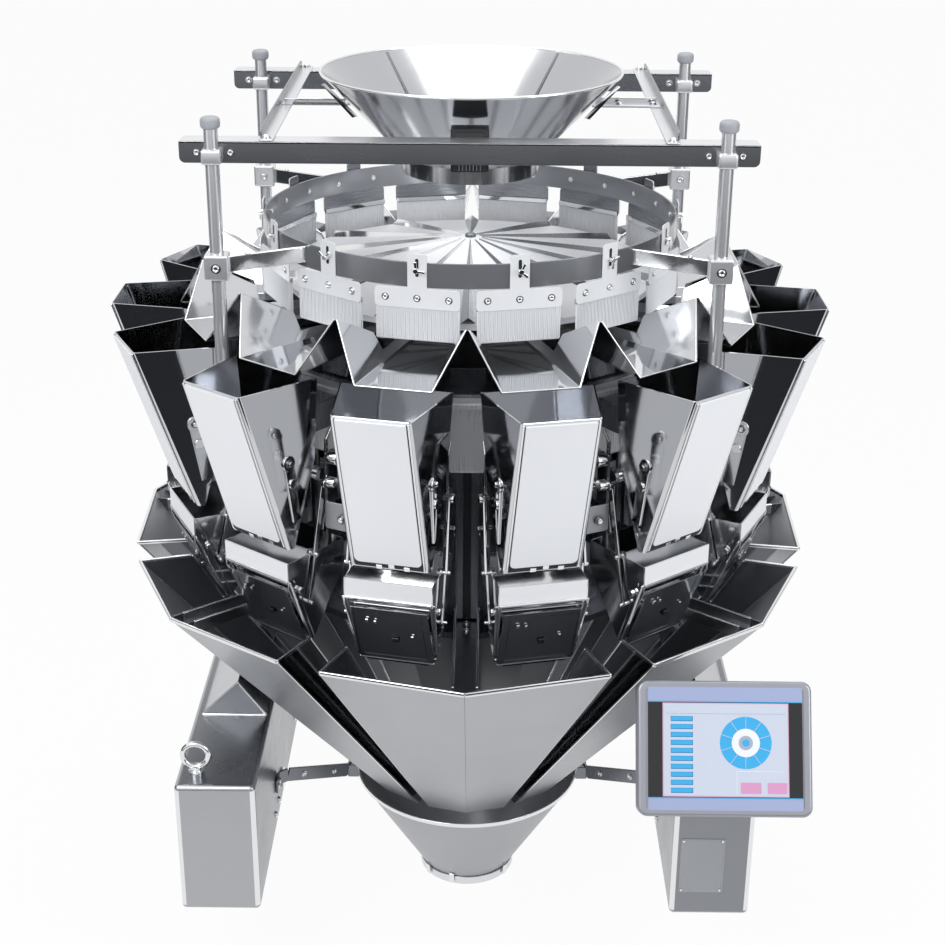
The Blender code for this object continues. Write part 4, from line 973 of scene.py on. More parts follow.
hems = []
middle_top = polar(0, CHUTE_RADIUS_TOP - 1.5 * MM, CHUTE_TOP)
for side in (-1, 1):
    corner_top, corner_foot = [chute_point(side, z, 0, 2 * MM) for z in (CHUTE_TOP, CHUTE_FOOT)]
    edge_top, edge_foot = [chute_point(side, z, 1) for z in (CHUTE_TOP, CHUTE_FOOT)]
    hems.append(bar("hem", middle_top, corner_top, 5 * MM, 7 * MM, BRIGHT, 1.5 * MM))
    hems.append(bar("hem", corner_top, edge_top, 4 * MM, 6 * MM, BRIGHT, 1.5 * MM))
    hems.append(bar("fold", corner_top, corner_foot, 3.4 * MM, 3.4 * MM, BRIGHT, MM))
    hems.append(bar("edge", edge_top, edge_foot, 4 * MM, 3 * MM, BRIGHT, MM))
spread(join("chute_hem", hems), CHUTE_ANGLES)

# %% [markdown]
# The brush ring stands round the cone and keeps product on the pans. It is a thin rolled band,
# so it starts as a cylinder without ends, and Solidify gives it a wall.

# %% Brush ring band and arms
RING_RADIUS, RING_FOOT, RING_TOP = 0.320, 1.018, 1.054
POST_X, POST_Y = 0.354, 0.280
RING_ARM_ANGLE, RING_ARM_Z = math.radians(47.5), 1.038


def open_tube(name, radius, low, high, wall, sides=112):
    """A rolled band about the machine's axis, its outer face at a radius."""
    tube = drum_blank(name, (0, 0, low), (0, 0, high), radius, sides)
    drop_faces(tube, lambda centre, normal: abs(normal.z) > 0.9)
    thicken(tube, wall)
    return tube


ring_parts = [dress(open_tube("brush_band", RING_RADIUS, RING_FOOT, RING_TOP, 3 * MM), RING_STEEL, 0.6 * MM)]
for x in (-1, 1):
    for y in (-1, 1):
        post = Vector((x * POST_X, y * POST_Y, RING_ARM_Z))
        seat = polar(RING_ARM_ANGLE, RING_RADIUS - MM, RING_ARM_Z)
        seat = Vector((x * abs(seat.x), y * abs(seat.y), RING_ARM_Z))
        away = (seat - post).normalized()
        half = Vector((0.017, 0.017, 0.018))
        ring_parts.append(bar("ring_arm", post + away * 0.010, seat, 5 * MM, 0.024, BRIGHT, 1.5 * MM))
        ring_parts.append(dress(block("clamp", post - half, post + half), POST_STEEL, 3 * MM, 3))
        ring_parts.append(screw_at(post + Vector((0, -0.0165, 0)), OUTWARD, 1.4))
        ring_parts.append(screw_at(post + away * 0.045 + Vector((0, 0, 0.011)), UPWARD, 1.0))
for count in range(2 * HEADS):
    angle = (count + 0.5) * math.pi / HEADS
    ring_parts.append(screw_at(polar(angle, RING_RADIUS - 3 * MM, 1.036), -polar(angle, 1, 0), 0.9))
place(join("brush_band", ring_parts), nodes=["brush_ring"])

# %% [markdown]
# Fourteen tee plates hang on the ring, each by a wing bolt through its slot. A plate is one
# block, and its stem is a face pulled up: the upper face is cut in three by two bisects first.

# %% Tee plates with wing bolts
PLATE_HALF, PLATE_FOOT, PLATE_TOP = 0.062, 0.988, 1.0175
STEM_HALF, STEM_TOP = 0.014, 1.067
PLATE_FACE = -RING_RADIUS - 2.6 * MM
PLATE_BACK = -RING_RADIUS - 0.6 * MM

tee = block("tee_plate", (-PLATE_HALF, PLATE_FACE, PLATE_FOOT), (PLATE_HALF, PLATE_BACK, PLATE_TOP))
for side in (-1, 1):
    activate(tee)
    bpy.ops.object.mode_set(mode="EDIT")
    bpy.ops.mesh.select_all(action="SELECT")
    bpy.ops.mesh.bisect(plane_co=(side * STEM_HALF, 0, 0), plane_no=(1, 0, 0))
    leave()
extrude(tee, lambda centre, normal: normal.z > 0.9 and abs(centre.x) < MM, (0, 0, STEM_TOP - PLATE_TOP))
soften(tee, lambda centre, axis: along_y(centre, axis) and abs(centre.x) > PLATE_HALF - MM, 6 * MM, 4)
soften(tee, lambda centre, axis: along_y(centre, axis) and centre.z > STEM_TOP - MM, 4 * MM, 4)
round_all(tee, 0.4 * MM, 1)
paint(tee, COVER_STEEL)
# The plate's back, facing the machine, is painted dark as shade.
face_finish(tee, lambda centre, normal: normal.y > 0.9, DARK_PAINTED_SHADE)
smooth(tee)
slot = block("slot", (-2.4 * MM, PLATE_FACE - 0.2 * MM, 1.034), (2.4 * MM, PLATE_FACE + MM, 1.060))
soften(slot, along_y, 2.2 * MM, 3)
tee_parts = [tee, paint(slot, SHADOW)]
for t in (-0.046, 0.0, 0.046):
    tee_parts.append(screw_at((t, PLATE_FACE, 1.003), OUTWARD, 1.05))


def make_wing_bolt():
    hub = pin("wing_hub", (0, 0, 0), (0, -8 * MM, 0), 4 * MM, BRIGHT, 14)
    wings = []
    for side in (-1, 1):
        wing = block("wing", (-2.4 * MM, -7 * MM, 0), (2.4 * MM, -5 * MM, 13 * MM))
        fit(wing, lambda co: co.z < MM, half=1.4 * MM)
        round_all(wing, 0.8 * MM, 2)
        wing.rotation_euler.y = side * math.radians(52)
        wings.append(dress(settle(wing), BRIGHT))
    return join("wing_bolt", [hub, *wings])


wing_bolt = make_wing_bolt()
tee = join("tee_plate", tee_parts)
tees = []
for count, angle in enumerate(HEAD_ANGLES, 1):
    name = f"tee_plate_{count:02d}"
    twin = turned_copy(tee, name, angle)
    settle(twin)
    twist = Matrix.Rotation(math.radians(25 + 53 * count), 4, "Y")
    seat = Matrix.Translation((0, PLATE_FACE, 1.044))
    wings = moved_copy(wing_bolt, "wings", Matrix.Rotation(angle, 4, "Z") @ seat @ twist)
    settle(wings)
    tees.append(place(join(name, [twin, wings])))
forget(tee, wing_bolt)
print(len(tees), "tee plates")

# %% [markdown]
# A brush is a row of nylon tufts. One tuft is a thin tapered stick. Two Array modifiers with
# different steps lay two rows of them, so the strands never line up and small gaps show.

# %% Brushes
BRISTLE_FOOT = 0.9405
BRISTLE_HALF = 0.060


def tuft_row(name, step, start, radius, foot, y, splay):
    tuft = drum_blank(name, (start, y, foot), (start, y, PLATE_FOOT + 2 * MM), radius, 5)
    shift(tuft, lambda co: co.z < foot + MM, (splay, -0.6 * MM, 0))
    count = int((BRISTLE_HALF - start) / step) + 1
    modify(tuft, "ARRAY", count=count, use_relative_offset=False, use_constant_offset=True,
           constant_offset_displace=(step, 0, 0))
    return dress(tuft, NYLON, angle=60)


brush_y = -RING_RADIUS + MM
# Step and start along the rim, radius, foot height, place outwards and splay of the tufts.
TUFT_ROWS = [
    (1.9 * MM, -0.0595, 0.85 * MM, BRISTLE_FOOT, brush_y, 0.3 * MM),
    (2.7 * MM, -0.0590, 0.80 * MM, BRISTLE_FOOT + 2 * MM, brush_y - 1.6 * MM, -0.6 * MM),
    (4.9 * MM, -0.0580, 0.80 * MM, BRISTLE_FOOT + MM, brush_y + 1.6 * MM, 0.9 * MM),
]
rows = [tuft_row("tufts", *row) for row in TUFT_ROWS]
core_high = (0.0595, brush_y + 0.5 * MM, PLATE_FOOT + 4 * MM)
core = block("brush_core", (-0.0595, brush_y - 0.5 * MM, 0.9470), core_high)
round_all(core, 0.3 * MM, 1)
holder_high = (0.0605, brush_y + 3 * MM, PLATE_FOOT + 7 * MM)
holder = block("brush_holder", (-0.0605, brush_y - 2 * MM, PLATE_FOOT - MM), holder_high)
round_all(holder, MM)
spread(join("brush", [*rows, paint(core, NYLON), paint(holder, POLISHED)]), HEAD_ANGLES)

# %% [markdown]
# Round sheets are drawn as a lathe would turn them. A circle is extruded and resized from one
# point of the outline to the next. Flat sheets start as a filled circle with as many corners as
# the sheet has, and each corner is then moved to its place.

# %% Helpers for turned and folded sheets
def lathe(name, profile, sides=96):
    """A sheet turned about the machine's axis through points of radius and height."""
    radius, z = profile[0]
    bpy.ops.object.select_all(action="DESELECT")
    bpy.ops.mesh.primitive_circle_add(vertices=sides, radius=radius, location=(0, 0, z))
    obj = settle(added(name))
    pick(obj, "EDGE", lambda centre, along: True)
    for next_radius, next_z in profile[1:]:
        bpy.ops.mesh.extrude_region_move(TRANSFORM_OT_translate={"value": (0, 0, next_z - z)})
        share = next_radius / radius
        bpy.ops.transform.resize(value=(share, share, 1), center_override=(0, 0, next_z))
        radius, z = next_radius, next_z
    bpy.ops.mesh.select_all(action="SELECT")
    bpy.ops.mesh.normals_make_consistent(inside=False)
    leave()
    return obj


def sheet(name, corners, thickness, finish, edge=0.4 * MM):
    """A flat sheet through its corners, grown evenly to both sides."""
    bpy.ops.object.select_all(action="DESELECT")
    bpy.ops.mesh.primitive_circle_add(vertices=len(corners), radius=5, fill_type="NGON")
    obj = added(name)
    starts = [vert.co.copy() for vert in obj.data.vertices]
    for start, corner in zip(starts, corners):
        shift(obj, lambda co: (co - start).length < MM, Vector(corner) - start)
    thicken(obj, thickness, 0)
    return dress(obj, finish, edge, 1)


def prism(name, corners, push, finish, edge=MM):
    """A solid: a flat outline pushed along a vector."""
    obj = sheet(name, corners, 0.1 * MM, finish, 0)
    side = Vector(push).normalized()
    middle = sum((Vector(corner) for corner in corners), Vector()) / len(corners)
    extrude(obj, lambda centre, normal: normal.dot(side) > 0.9 and (centre - middle).dot(side) > 0, push)
    round_all(obj, edge, 3)
    smooth(obj)
    return obj


def torus(name, place_at, major, minor, major_segments, minor_segments, turn=(0, 0, 0)):
    """A bright ring of round wire."""
    bpy.ops.object.select_all(action="DESELECT")
    bpy.ops.mesh.primitive_torus_add(
        major_radius=major, minor_radius=minor, major_segments=major_segments,
        minor_segments=minor_segments, location=place_at, rotation=turn)
    return dress(settle(added(name)), BRIGHT, angle=60)


print("turned and folded sheets ready to be made")

# %% [markdown]
# The infeed funnel is thin polished sheet with a rolled rim. Two welded seams run down inside
# it, and thin gussets stand between its outside and the arms.

# %% Infeed funnel
FUNNEL_RIM, FUNNEL_NECK, SPOUT_FOOT = 1.266, 1.138, 1.114
FUNNEL_RADIUS, SPOUT_RADIUS = 0.229, 0.105

FUNNEL_OUTLINE = [
    (SPOUT_RADIUS - MM, SPOUT_FOOT), (SPOUT_RADIUS - MM, FUNNEL_NECK),
    (FUNNEL_RADIUS - 1.4 * MM, FUNNEL_RIM - MM)]
funnel = lathe("funnel", FUNNEL_OUTLINE, 128)
thicken(funnel, SHEET, 0)
dress(funnel, FUNNEL_STEEL, angle=35)
bead = torus("bead", (0, 0, FUNNEL_RIM - 1.5 * MM), FUNNEL_RADIUS - 1.6 * MM, 2.2 * MM, 128, 8)
funnel_parts = [funnel, bead]
for angle in (math.radians(142), math.radians(-142)):
    low = polar(angle, SPOUT_RADIUS - 1.5 * MM, FUNNEL_NECK + 4 * MM)
    high = polar(angle, FUNNEL_RADIUS - 6 * MM, FUNNEL_RIM - 4 * MM)
    funnel_parts.append(bar("seam", low, high, 4 * MM, 1.6 * MM, DARK, 0.5 * MM, up=polar(angle, -1, 1)))
GUSSET = [(FUNNEL_RADIUS - 3 * MM, 1.256), (0.178, 1.205), (0.186, 1.203), (0.2315, 1.254)]
for turn in (72, -72, 108, -108):
    corners = [polar(math.radians(turn), *corner) for corner in GUSSET]
    funnel_parts.append(sheet("gusset", corners, 2 * MM, POLISHED))
place(join("funnel", funnel_parts), nodes=["infeed_funnel"])

# %% [markdown]
# The overhead frame stands on four capped posts. Two folded rails run across it with their
# ends rounded, clamped to the posts by two screws each. Straps lie across the rails, and short
# arms reach from them to the funnel. A black level sensor looks down from behind the front rail.

# %% Overhead frame
POST_FOOT, POST_TOP = 0.800, 1.233
RAIL_HALF, RAIL_FOOT, RAIL_TOP = 0.402, 1.180, 1.210
RAIL_OFFSET = 0.016
CROSS_X = 0.282


def make_rail(y):
    """The angle rail behind the posts at y, its flange to the back, its upright face painted dark as the
    shade under the flange.
    """
    face = y + RAIL_OFFSET
    front = block("rail_face", (-RAIL_HALF, face, RAIL_FOOT), (RAIL_HALF, face + 3 * MM, RAIL_TOP))
    soften(front, lambda centre, axis: along_y(centre, axis) and centre.z < RAIL_FOOT + MM, 8 * MM, 5)
    top = block("rail_flange", (-RAIL_HALF, face, RAIL_TOP - 3 * MM), (RAIL_HALF, face + 0.040, RAIL_TOP))
    soften(top, lambda centre, axis: abs(axis.z) > 0.9 and centre.y > face + 0.03, 6 * MM, 4)
    return [dress(front, UPRIGHT_PAINTED_SHADE, 0.8 * MM), dress(top, SATIN, 0.8 * MM)]


def make_post(x, y):
    """A post with its cap, and the clamp that holds a rail to it by two screws."""
    post = pin("post", (x, y, POST_FOOT), (x, y, POST_TOP), 0.010, POST_STEEL, 32)
    cap = drum_blank("cap", (x, y, POST_TOP - 2 * MM), (x, y, POST_TOP + 0.0148), 0.0138, 32)
    back_low, back_high = (x - 0.030, y + 0.0185, RAIL_FOOT + MM), (x + 0.030, y + 0.024, RAIL_TOP - 5 * MM)
    back = dress(block("clamp", back_low, back_high), POST_STEEL, 2.5 * MM, 3)
    low, high = (x - 0.014, y - 0.014, RAIL_FOOT + 3 * MM), (x + 0.014, y + 0.0165, RAIL_TOP - 6 * MM)
    collar = dress(block("clamp", low, high), POST_STEEL, 4 * MM, 3)
    screws = []
    for at_x in (x - 0.0235, x + 0.0235):
        screws.append(screw_at((at_x, y + RAIL_OFFSET, (RAIL_FOOT + RAIL_TOP) / 2), OUTWARD, 1.15))
    return [post, dress(cap, CAP_GREY, 5.5 * MM, 4), back, collar, *screws]


def make_strap(side):
    """The strap across both rails at one side, with its flange painted dark as shade, and the funnel's arm.
    """
    low, arm_top = RAIL_TOP - 0.2 * MM, RAIL_TOP + 2.8 * MM
    front, rear = -POST_Y + RAIL_OFFSET + MM, POST_Y + RAIL_OFFSET + 0.039
    inner, outer = sorted((side * (CROSS_X - 0.0105), side * (CROSS_X + 0.0095)))
    strap = block("strap", (inner, front, low), (outer, rear, low + 3 * MM))
    soften(strap, lambda centre, axis: abs(axis.z) > 0.9, 5 * MM, 4)
    near, far = sorted((side * (CROSS_X + 0.0065), side * (CROSS_X + 0.0095)))
    flange = block("strap_flange", (near, front + 0.020, low), (far, rear - 0.020, low + 0.015))
    soften(flange, lambda centre, axis: abs(axis.x) > 0.9 and centre.z > low + 0.01, 6 * MM, 4)
    arm = block("arm", (0.183, -0.015, arm_top), (CROSS_X + 4 * MM, 0.015, arm_top + 3 * MM))
    lip = block("arm_lip", (0.190, 0.012, arm_top), (CROSS_X, 0.015, arm_top + 0.010))
    for piece in (arm, lip):
        piece.rotation_euler.z = 0 if side > 0 else math.pi
        settle(piece)
    finishes = ((strap, SATIN), (flange, UPRIGHT_PAINTED_SHADE), (arm, SATIN), (lip, POLISHED))
    parts = [dress(piece, finish, 0.7 * MM) for piece, finish in finishes]
    for y in (front + 0.012, rear - 0.012):
        parts.append(screw_at((side * CROSS_X, y, low + 3 * MM), UPWARD, 1.5))
    for along in (CROSS_X - 0.006, 0.225):
        parts.append(screw_at((side * along, 0, arm_top + 3 * MM), UPWARD, 1.2))
    return parts


frame_parts = []
for y in (-POST_Y, POST_Y):
    frame_parts += make_rail(y)
for x in (-POST_X, POST_X):
    for y in (-POST_Y, POST_Y):
        frame_parts += make_post(x, y)
for side in (-1, 1):
    frame_parts += make_strap(side)

SENSOR_Y = -POST_Y + RAIL_OFFSET + 0.040
sensor = block("sensor", (-0.027, SENSOR_Y, 1.160), (0.027, SENSOR_Y + 0.030, 1.222))
round_all(sensor, 2.5 * MM, 3)
inset(sensor, lambda centre, normal: faces_front(centre, normal) and centre.z > 1.17, (3 * MM, -MM))
frame_parts.append(dress(sensor, BLACK))
for step in range(7):
    ends = [((step - 3) * 5 * MM, SENSOR_Y - 0.3 * MM, z) for z in (1.163, 1.176)]
    frame_parts.append(bar("grille", *ends, MM, 1.2 * MM, CAP_GREY, 0.2 * MM, up=OUTWARD))
ends = [(x, SENSOR_Y - 0.2 * MM, 1.213) for x in (-0.020, 0.020)]
frame_parts.append(bar("window", *ends, 8 * MM, MM, GLASS, 0.4 * MM, up=OUTWARD))
overhead = place(join("overhead", frame_parts), nodes=["overhead_frame"])
print("overhead frame", len(overhead.data.polygons), "faces")

# %% [markdown]
# The dispersion cone is ribbed, so product slides outwards in lanes. It is turned as a plain
# cone, and each of the fourteen ribs is two narrow sheets that meet in a ridge.

# %% Dispersion cone
CONE_RADIUS, CONE_RIM, CONE_APEX = 0.292, 0.957, 1.008
RIBS = 14
CONE_OUTLINE = [
    (CONE_RADIUS, CONE_RIM - 8 * MM), (CONE_RADIUS, CONE_RIM), (0.200, 0.9732), (0.010, 1.0065),
    (0.003, CONE_APEX)]
cone = lathe("cone", CONE_OUTLINE, RIBS * 8)
thicken(cone, 1.5 * MM, 0)
dress(cone, COVER_STEEL, angle=20)
cone_parts = [cone, pin("cone_drive", (0, 0, 0.8595), (0, 0, 0.966), 0.078, DARK, 48)]


def cone_height(radius):
    """The cone's surface at a radius."""
    return CONE_APEX - (CONE_APEX - CONE_RIM) * radius / CONE_RADIUS


def cone_rib(angle):
    """A folded rib: a ridge that grows from the apex to the rim, one flank painted dark as shade and the
    other painted bright as a highlight.
    """
    half = math.radians(2.6)
    reach = (0.018, CONE_RADIUS - 2 * MM)
    rises = (2.5 * MM, 9 * MM)
    crest = [polar(angle, radius, cone_height(radius) + rise) for radius, rise in zip(reach, rises)]
    flanks = []
    # Painted light: on every rib one flank is painted dark as shade and the other bright as a highlight,
    # whichever way the rib faces.
    for side, finish in ((-1, DARK), (1, BRIGHT)):
        low = [polar(angle + side * half, radius, cone_height(radius) - MM) for radius in reach]
        flanks.append(sheet("flank", [crest[0], crest[1], low[1], low[0]], 1.2 * MM, finish, 0))
    return flanks


for rib in range(RIBS):
    cone_parts += cone_rib(rib * 2 * math.pi / RIBS)
knob = drum_blank("cone_cap", (0, 0, CONE_APEX - 4 * MM), (0, 0, CONE_APEX + 5 * MM), 0.0085, 24)
cone_parts.append(dress(knob, DARK, 3 * MM, 3))
place(join("cone", cone_parts), nodes=["dispersion_cone"])

# %% [markdown]
# A feeder pan is one folded sheet: a tapered floor between two flared walls. The walls are low
# under the cone, and beyond the brushes they rise to an apex where they meet the neighbours'.

# %% Feeder pans and drives
PAN_FLOOR, PAN_INNER, PAN_OUTER = 0.9125, 0.190, 0.450
PAN_INNER_HALF, PAN_OUTER_HALF = 0.026, 0.0545
PAN_APEX, PAN_APEX_RISE = 0.407, 0.0775
PAN_STEP, PAN_STEP_RISE, PAN_LOW = 0.333, 0.038, 0.013
DECK_TOP = 0.8643


def pan_half(radius):
    share = (radius - PAN_INNER) / (PAN_OUTER - PAN_INNER)
    return PAN_INNER_HALF + share * (PAN_OUTER_HALF - PAN_INNER_HALF)


def wall_corner(side, radius, rise):
    """A point on a pan's flared wall at a radius and a height over the floor."""
    flare = (PAN_APEX * math.tan(math.pi / HEADS) - SHEET - pan_half(PAN_APEX)) / PAN_APEX_RISE
    return head_point(side * (pan_half(radius) + flare * rise), radius, PAN_FLOOR + MM + rise)


FLOOR_CORNERS = [
    (-PAN_INNER_HALF, PAN_INNER), (PAN_INNER_HALF, PAN_INNER), (PAN_OUTER_HALF, PAN_OUTER),
    (-PAN_OUTER_HALF, PAN_OUTER)]
WALL_OUTLINE = [
    (PAN_INNER, 0), (PAN_OUTER, 0), (PAN_APEX, PAN_APEX_RISE), (PAN_STEP, PAN_STEP_RISE), (PAN_STEP, PAN_LOW),
    (PAN_INNER, PAN_LOW)]
floor_corners = [head_point(t, radius, PAN_FLOOR + MM) for t, radius in FLOOR_CORNERS]
pan_parts = [sheet("pan_floor", floor_corners, SHEET, MIRROR)]
for side in (-1, 1):
    wall = [wall_corner(side, *point) for point in WALL_OUTLINE]
    pan_parts.append(sheet("pan_wall", wall, SHEET, POLISHED))
    fold = [wall_corner(side, radius, 0) for radius in (PAN_STEP, PAN_OUTER)]
    pan_parts.append(bar("pan_fold", *fold, 3 * MM, 3 * MM, BRIGHT, MM))
    hem = [wall_corner(side, PAN_APEX, PAN_APEX_RISE), wall_corner(side, PAN_OUTER, 0)]
    pan_parts.append(bar("pan_hem", *hem, 2.6 * MM, 2.6 * MM, BRIGHT, 0.8 * MM))
pan_parts.append(bar("pan_lip", floor_corners[3], floor_corners[2], 3 * MM, 2.6 * MM, BRIGHT, 0.8 * MM))
foot = block("feeder", (-0.026, -0.318, DECK_TOP), (0.026, -0.225, 0.9050))
shift(foot, lambda co: co.z > 0.90 and co.y > -0.27, (0, -0.011, 0))
shift(foot, lambda co: co.z > 0.90 and co.y < -0.27, (0, 0.011, 0))
stem = block("feeder_stem", (-0.016, -0.2875, 0.903), (0.016, -0.2555, PAN_FLOOR))
pan_parts += [dress(foot, DARK, 4 * MM, 3), paint(stem, DARK)]
pan = join("pan", pan_parts)
pans = [turned_copy(pan, f"pan_{count:02d}", angle) for count, angle in enumerate(HEAD_ANGLES, 1)]
forget(pan)
deck_foot = DECK_TOP - 5 * MM
deck = lathe("deck", [(0.326, deck_foot), (0.326, DECK_TOP), (0.217, DECK_TOP), (0.217, deck_foot)], 112)
pans = place(join("pans", [dress(deck, DARK), *pans]), nodes=["feeders"])
print("pans", len(pans.data.polygons), "faces")

# %% [markdown]
# The drum is turned, with a flange at its top. The brackets for the posts are thick folded plates,
# each with a round seat and a screw.

# %% Drum
DRUM_RADIUS, DRUM_FOOT, DRUM_TOP = 0.335, 0.745, 0.859
DRUM_OUTLINE = [
    (0.280, DRUM_FOOT), (DRUM_RADIUS - 6 * MM, DRUM_FOOT), (DRUM_RADIUS - 1.5 * MM, DRUM_FOOT + 1.5 * MM),
    (DRUM_RADIUS, DRUM_FOOT + 6 * MM), (DRUM_RADIUS, DRUM_TOP - 0.012), (0.3485, DRUM_TOP - 0.010),
    (0.350, DRUM_TOP - 0.008), (0.350, DRUM_TOP - 0.002), (0.348, DRUM_TOP), (0.200, DRUM_TOP)]
drum_parts = [dress(lathe("drum_shell", DRUM_OUTLINE, 112), DRUM_STEEL, angle=35)]
for x in (-POST_X, POST_X):
    for y in (-POST_Y, POST_Y):
        angle, reach = math.atan2(x, -y), math.hypot(x, y) + 0.008
        outline = ((0.334, 0.756), (0.345, 0.756), (reach, 0.790), (reach, 0.7985), (0.334, 0.7985))
        drum_parts.append(sheet("bracket", [polar(angle, *corner) for corner in outline], 0.022, SATIN, MM))
        drum_parts.append(pin("bracket_seat", (x, y, 0.790), (x, y, 0.7996), 0.013, SATIN, 24))
        drum_parts.append(screw_at(polar(angle, 0.346, 0.766), polar(angle, 1, 0), 1.1))
place(join("drum_shell", drum_parts), nodes=["drum"])

# %% [markdown]
# Every side of the housing has a screwed cover and a drive unit with its two shafts.

# %% Housing covers and drive units
HOUSING_FLAT = 0.300 * math.cos(math.pi / HEADS)
cover = block("housing_cover", (-0.061, -HOUSING_FLAT - 1.6 * MM, 0.494), (0.061, -HOUSING_FLAT, 0.642))
soften(cover, along_y, 6 * MM, 3)
unit = block("drive_unit", (-0.033, -0.3195, 0.654), (0.033, -0.292, 0.7255))
shift(unit, lambda co: co.z < 0.66 and co.y < -0.31, (0, 0.013, 0))
cover_parts = [dress(cover, DARK, 0.6 * MM), dress(unit, DARK, 3 * MM, 3)]
for t in (-0.050, 0.050):
    for z in (0.505, 0.631):
        cover_parts.append(screw_at((t, -HOUSING_FLAT - 1.4 * MM, z), OUTWARD, 0.9))
for t in (-0.024, 0.024):
    cover_parts.append(pin("shaft", (t, -0.318, 0.704), (t, -0.333, 0.704), 5 * MM, BRIGHT, 16))
spread(join("housing_cover", cover_parts), HEAD_ANGLES)

# %% [markdown]
# A chute is one sheet with a soft crease down its middle and a side wall at each end. Its panels
# run from a wide mouth to the narrow cone. Two bolts hold it to the arm behind it.

# %% Chutes
chute_parts = []
for side in (-1, 1):
    top, foot = [chute_point(side, z, 0, MM) for z in (CHUTE_TOP, CHUTE_FOOT)]
    top_edge, foot_edge = [chute_point(side, z, 1) for z in (CHUTE_TOP, CHUTE_FOOT)]
    middle_foot = polar(0, CHUTE_RADIUS_FOOT - MM, CHUTE_FOOT)
    panel = [polar(0, CHUTE_RADIUS_TOP - MM, CHUTE_TOP), top, foot, middle_foot]
    chute_parts.append(sheet("chute_panel", panel, SHEET, CHUTE_STEEL, 0))
    # The side walls take the darker polish as painted shade, though they are folded from the same sheet as
    # the panels.
    chute_parts.append(sheet("chute_wall", [top, top_edge, foot_edge, foot], SHEET, DEEP_POLISH_AND_SHADE, 0))
chute = join("chute_sheet", chute_parts)
smooth(chute, 12)
chutes = []
for count, angle in enumerate(CHUTE_ANGLES, 1):
    chutes.append(place(turned_copy(chute, f"chute_sheet_{count}", angle), nodes=[f"chute_{count}"]))
forget(chute)
ARM_INNER, ARM_OUTER = 0.294, 0.535


def arm_bar(name, t, z, width, thick, finish, edge, up=UPWARD):
    """A bar along the arm, from the housing to the chute."""
    return bar(name, head_point(t, ARM_INNER, z), head_point(t, ARM_OUTER, z), width, thick, finish, edge, up)


arm_parts = []
for t in (-0.0168, 0.0168):
    arm_parts.append(arm_bar("arm_flange", t, 0.498, 0.020, 4.4 * MM, BRIGHT, 1.5 * MM, (1, 0, 0)))
arm_parts.append(arm_bar("arm_web", 0, 0.490, 0.032, 3 * MM, DARK, MM))
for radius in (0.318, 0.340):
    arm_parts.append(screw_at((0, -radius, 0.4915), UPWARD, 1.3))
spread(join("chute_arm", arm_parts), CHUTE_ANGLES)
print(len(chutes), "chutes")

# %% [markdown]
# The discharge cone gathers the portion. It has a beaded rim and a wider ring at its outlet with
# small spring clips. Bent straps reach from it to the base boxes, each held by two bolts.

# %% Discharge cone and straps
CONE_TOP, OUTLET_TOP, OUTLET_FOOT = 0.045, -0.145, -0.160
DISCHARGE_OUTLINE = [
    (0.080, OUTLET_FOOT), (0.080, OUTLET_TOP), (0.194, CONE_TOP - 4 * MM), (0.194, CONE_TOP - MM)]
STRAP_CORNERS = [
    (0.205, 0.012, 0.030), (0.213, -0.012, 0.032), (0.309, -0.100, 0.078), (0.3235, -0.112, 0.078),
    (0.3235, -0.140, 0.078)]
discharge = lathe("discharge", DISCHARGE_OUTLINE, 128)
thicken(discharge, SHEET, 0)
outlet = open_tube("outlet_ring", 0.0835, OUTLET_FOOT, OUTLET_TOP - MM, 3 * MM, 96)
rim = open_tube("rim_band", 0.1962, CONE_TOP - 7 * MM, CONE_TOP + 0.2 * MM, 2.4 * MM, 128)
discharge_parts = [dress(discharge, CHUTE_STEEL)]
discharge_parts += [dress(outlet, SATIN, 0.8 * MM), dress(rim, BRIGHT, 0.8 * MM)]
for angle in (-0.9, -0.3, 0.9, 2.4, 3.8):
    ends = polar(angle, 0.0865, OUTLET_FOOT + 3 * MM), polar(angle, 0.0885, OUTLET_TOP + 8 * MM)
    discharge_parts.append(bar("clip", *ends, 9 * MM, 3 * MM, BRIGHT, MM, up=polar(angle, 1, 0)))
for side in (-1, 1):
    corners = [Vector((side * x, y, z)) for x, y, z in STRAP_CORNERS]
    for start, end in zip(corners, corners[1:]):
        discharge_parts.append(bar("strap", start, end, 4 * MM, 0.025, DARK, MM))
    ends = [(side * x, 0, 0.0285) for x in (0.190, 0.213)]
    discharge_parts.append(bar("lug", *ends, 0.024, 0.024, DARK, 1.5 * MM))
    discharge_parts.append(screw_at((side * 0.212, -0.004, 0.031), (side, 0, 0), 1.3))
    for y in (-0.120, -0.135):
        discharge_parts.append(screw_at((side * 0.3215, y, 0.078), (-side, 0, 0), 1.2))
    for share in (0.25, 0.75):
        at = corners[1].lerp(corners[2], share) + Vector((-side * 1.5 * MM, -1.6 * MM, 0))
        discharge_parts.append(screw_at(at, (-side * 0.68, -0.73, 0), 1.0))
place(join("discharge", discharge_parts), nodes=["discharge_cone"])

# %% [markdown]
# Each base box has softly rounded edges and carries a welded foot, shaped like a roof, with two
# ribs up to the housing. Lifting eyes stand at its corners on collars. The right box has a bare
# rating plate with four rivets.

# %% Base boxes
BASE_INNER, BASE_OUTER, BASE_HALF_DEPTH, BASE_HEIGHT = 0.326, 0.452, 0.3715, 0.231
FOOT_FRONT, FOOT_REAR, FOOT_INNER, FOOT_OUTER = 0.160, 0.335, 0.332, 0.440
RIDGE_X, RIDGE_Z = 0.378, 0.293


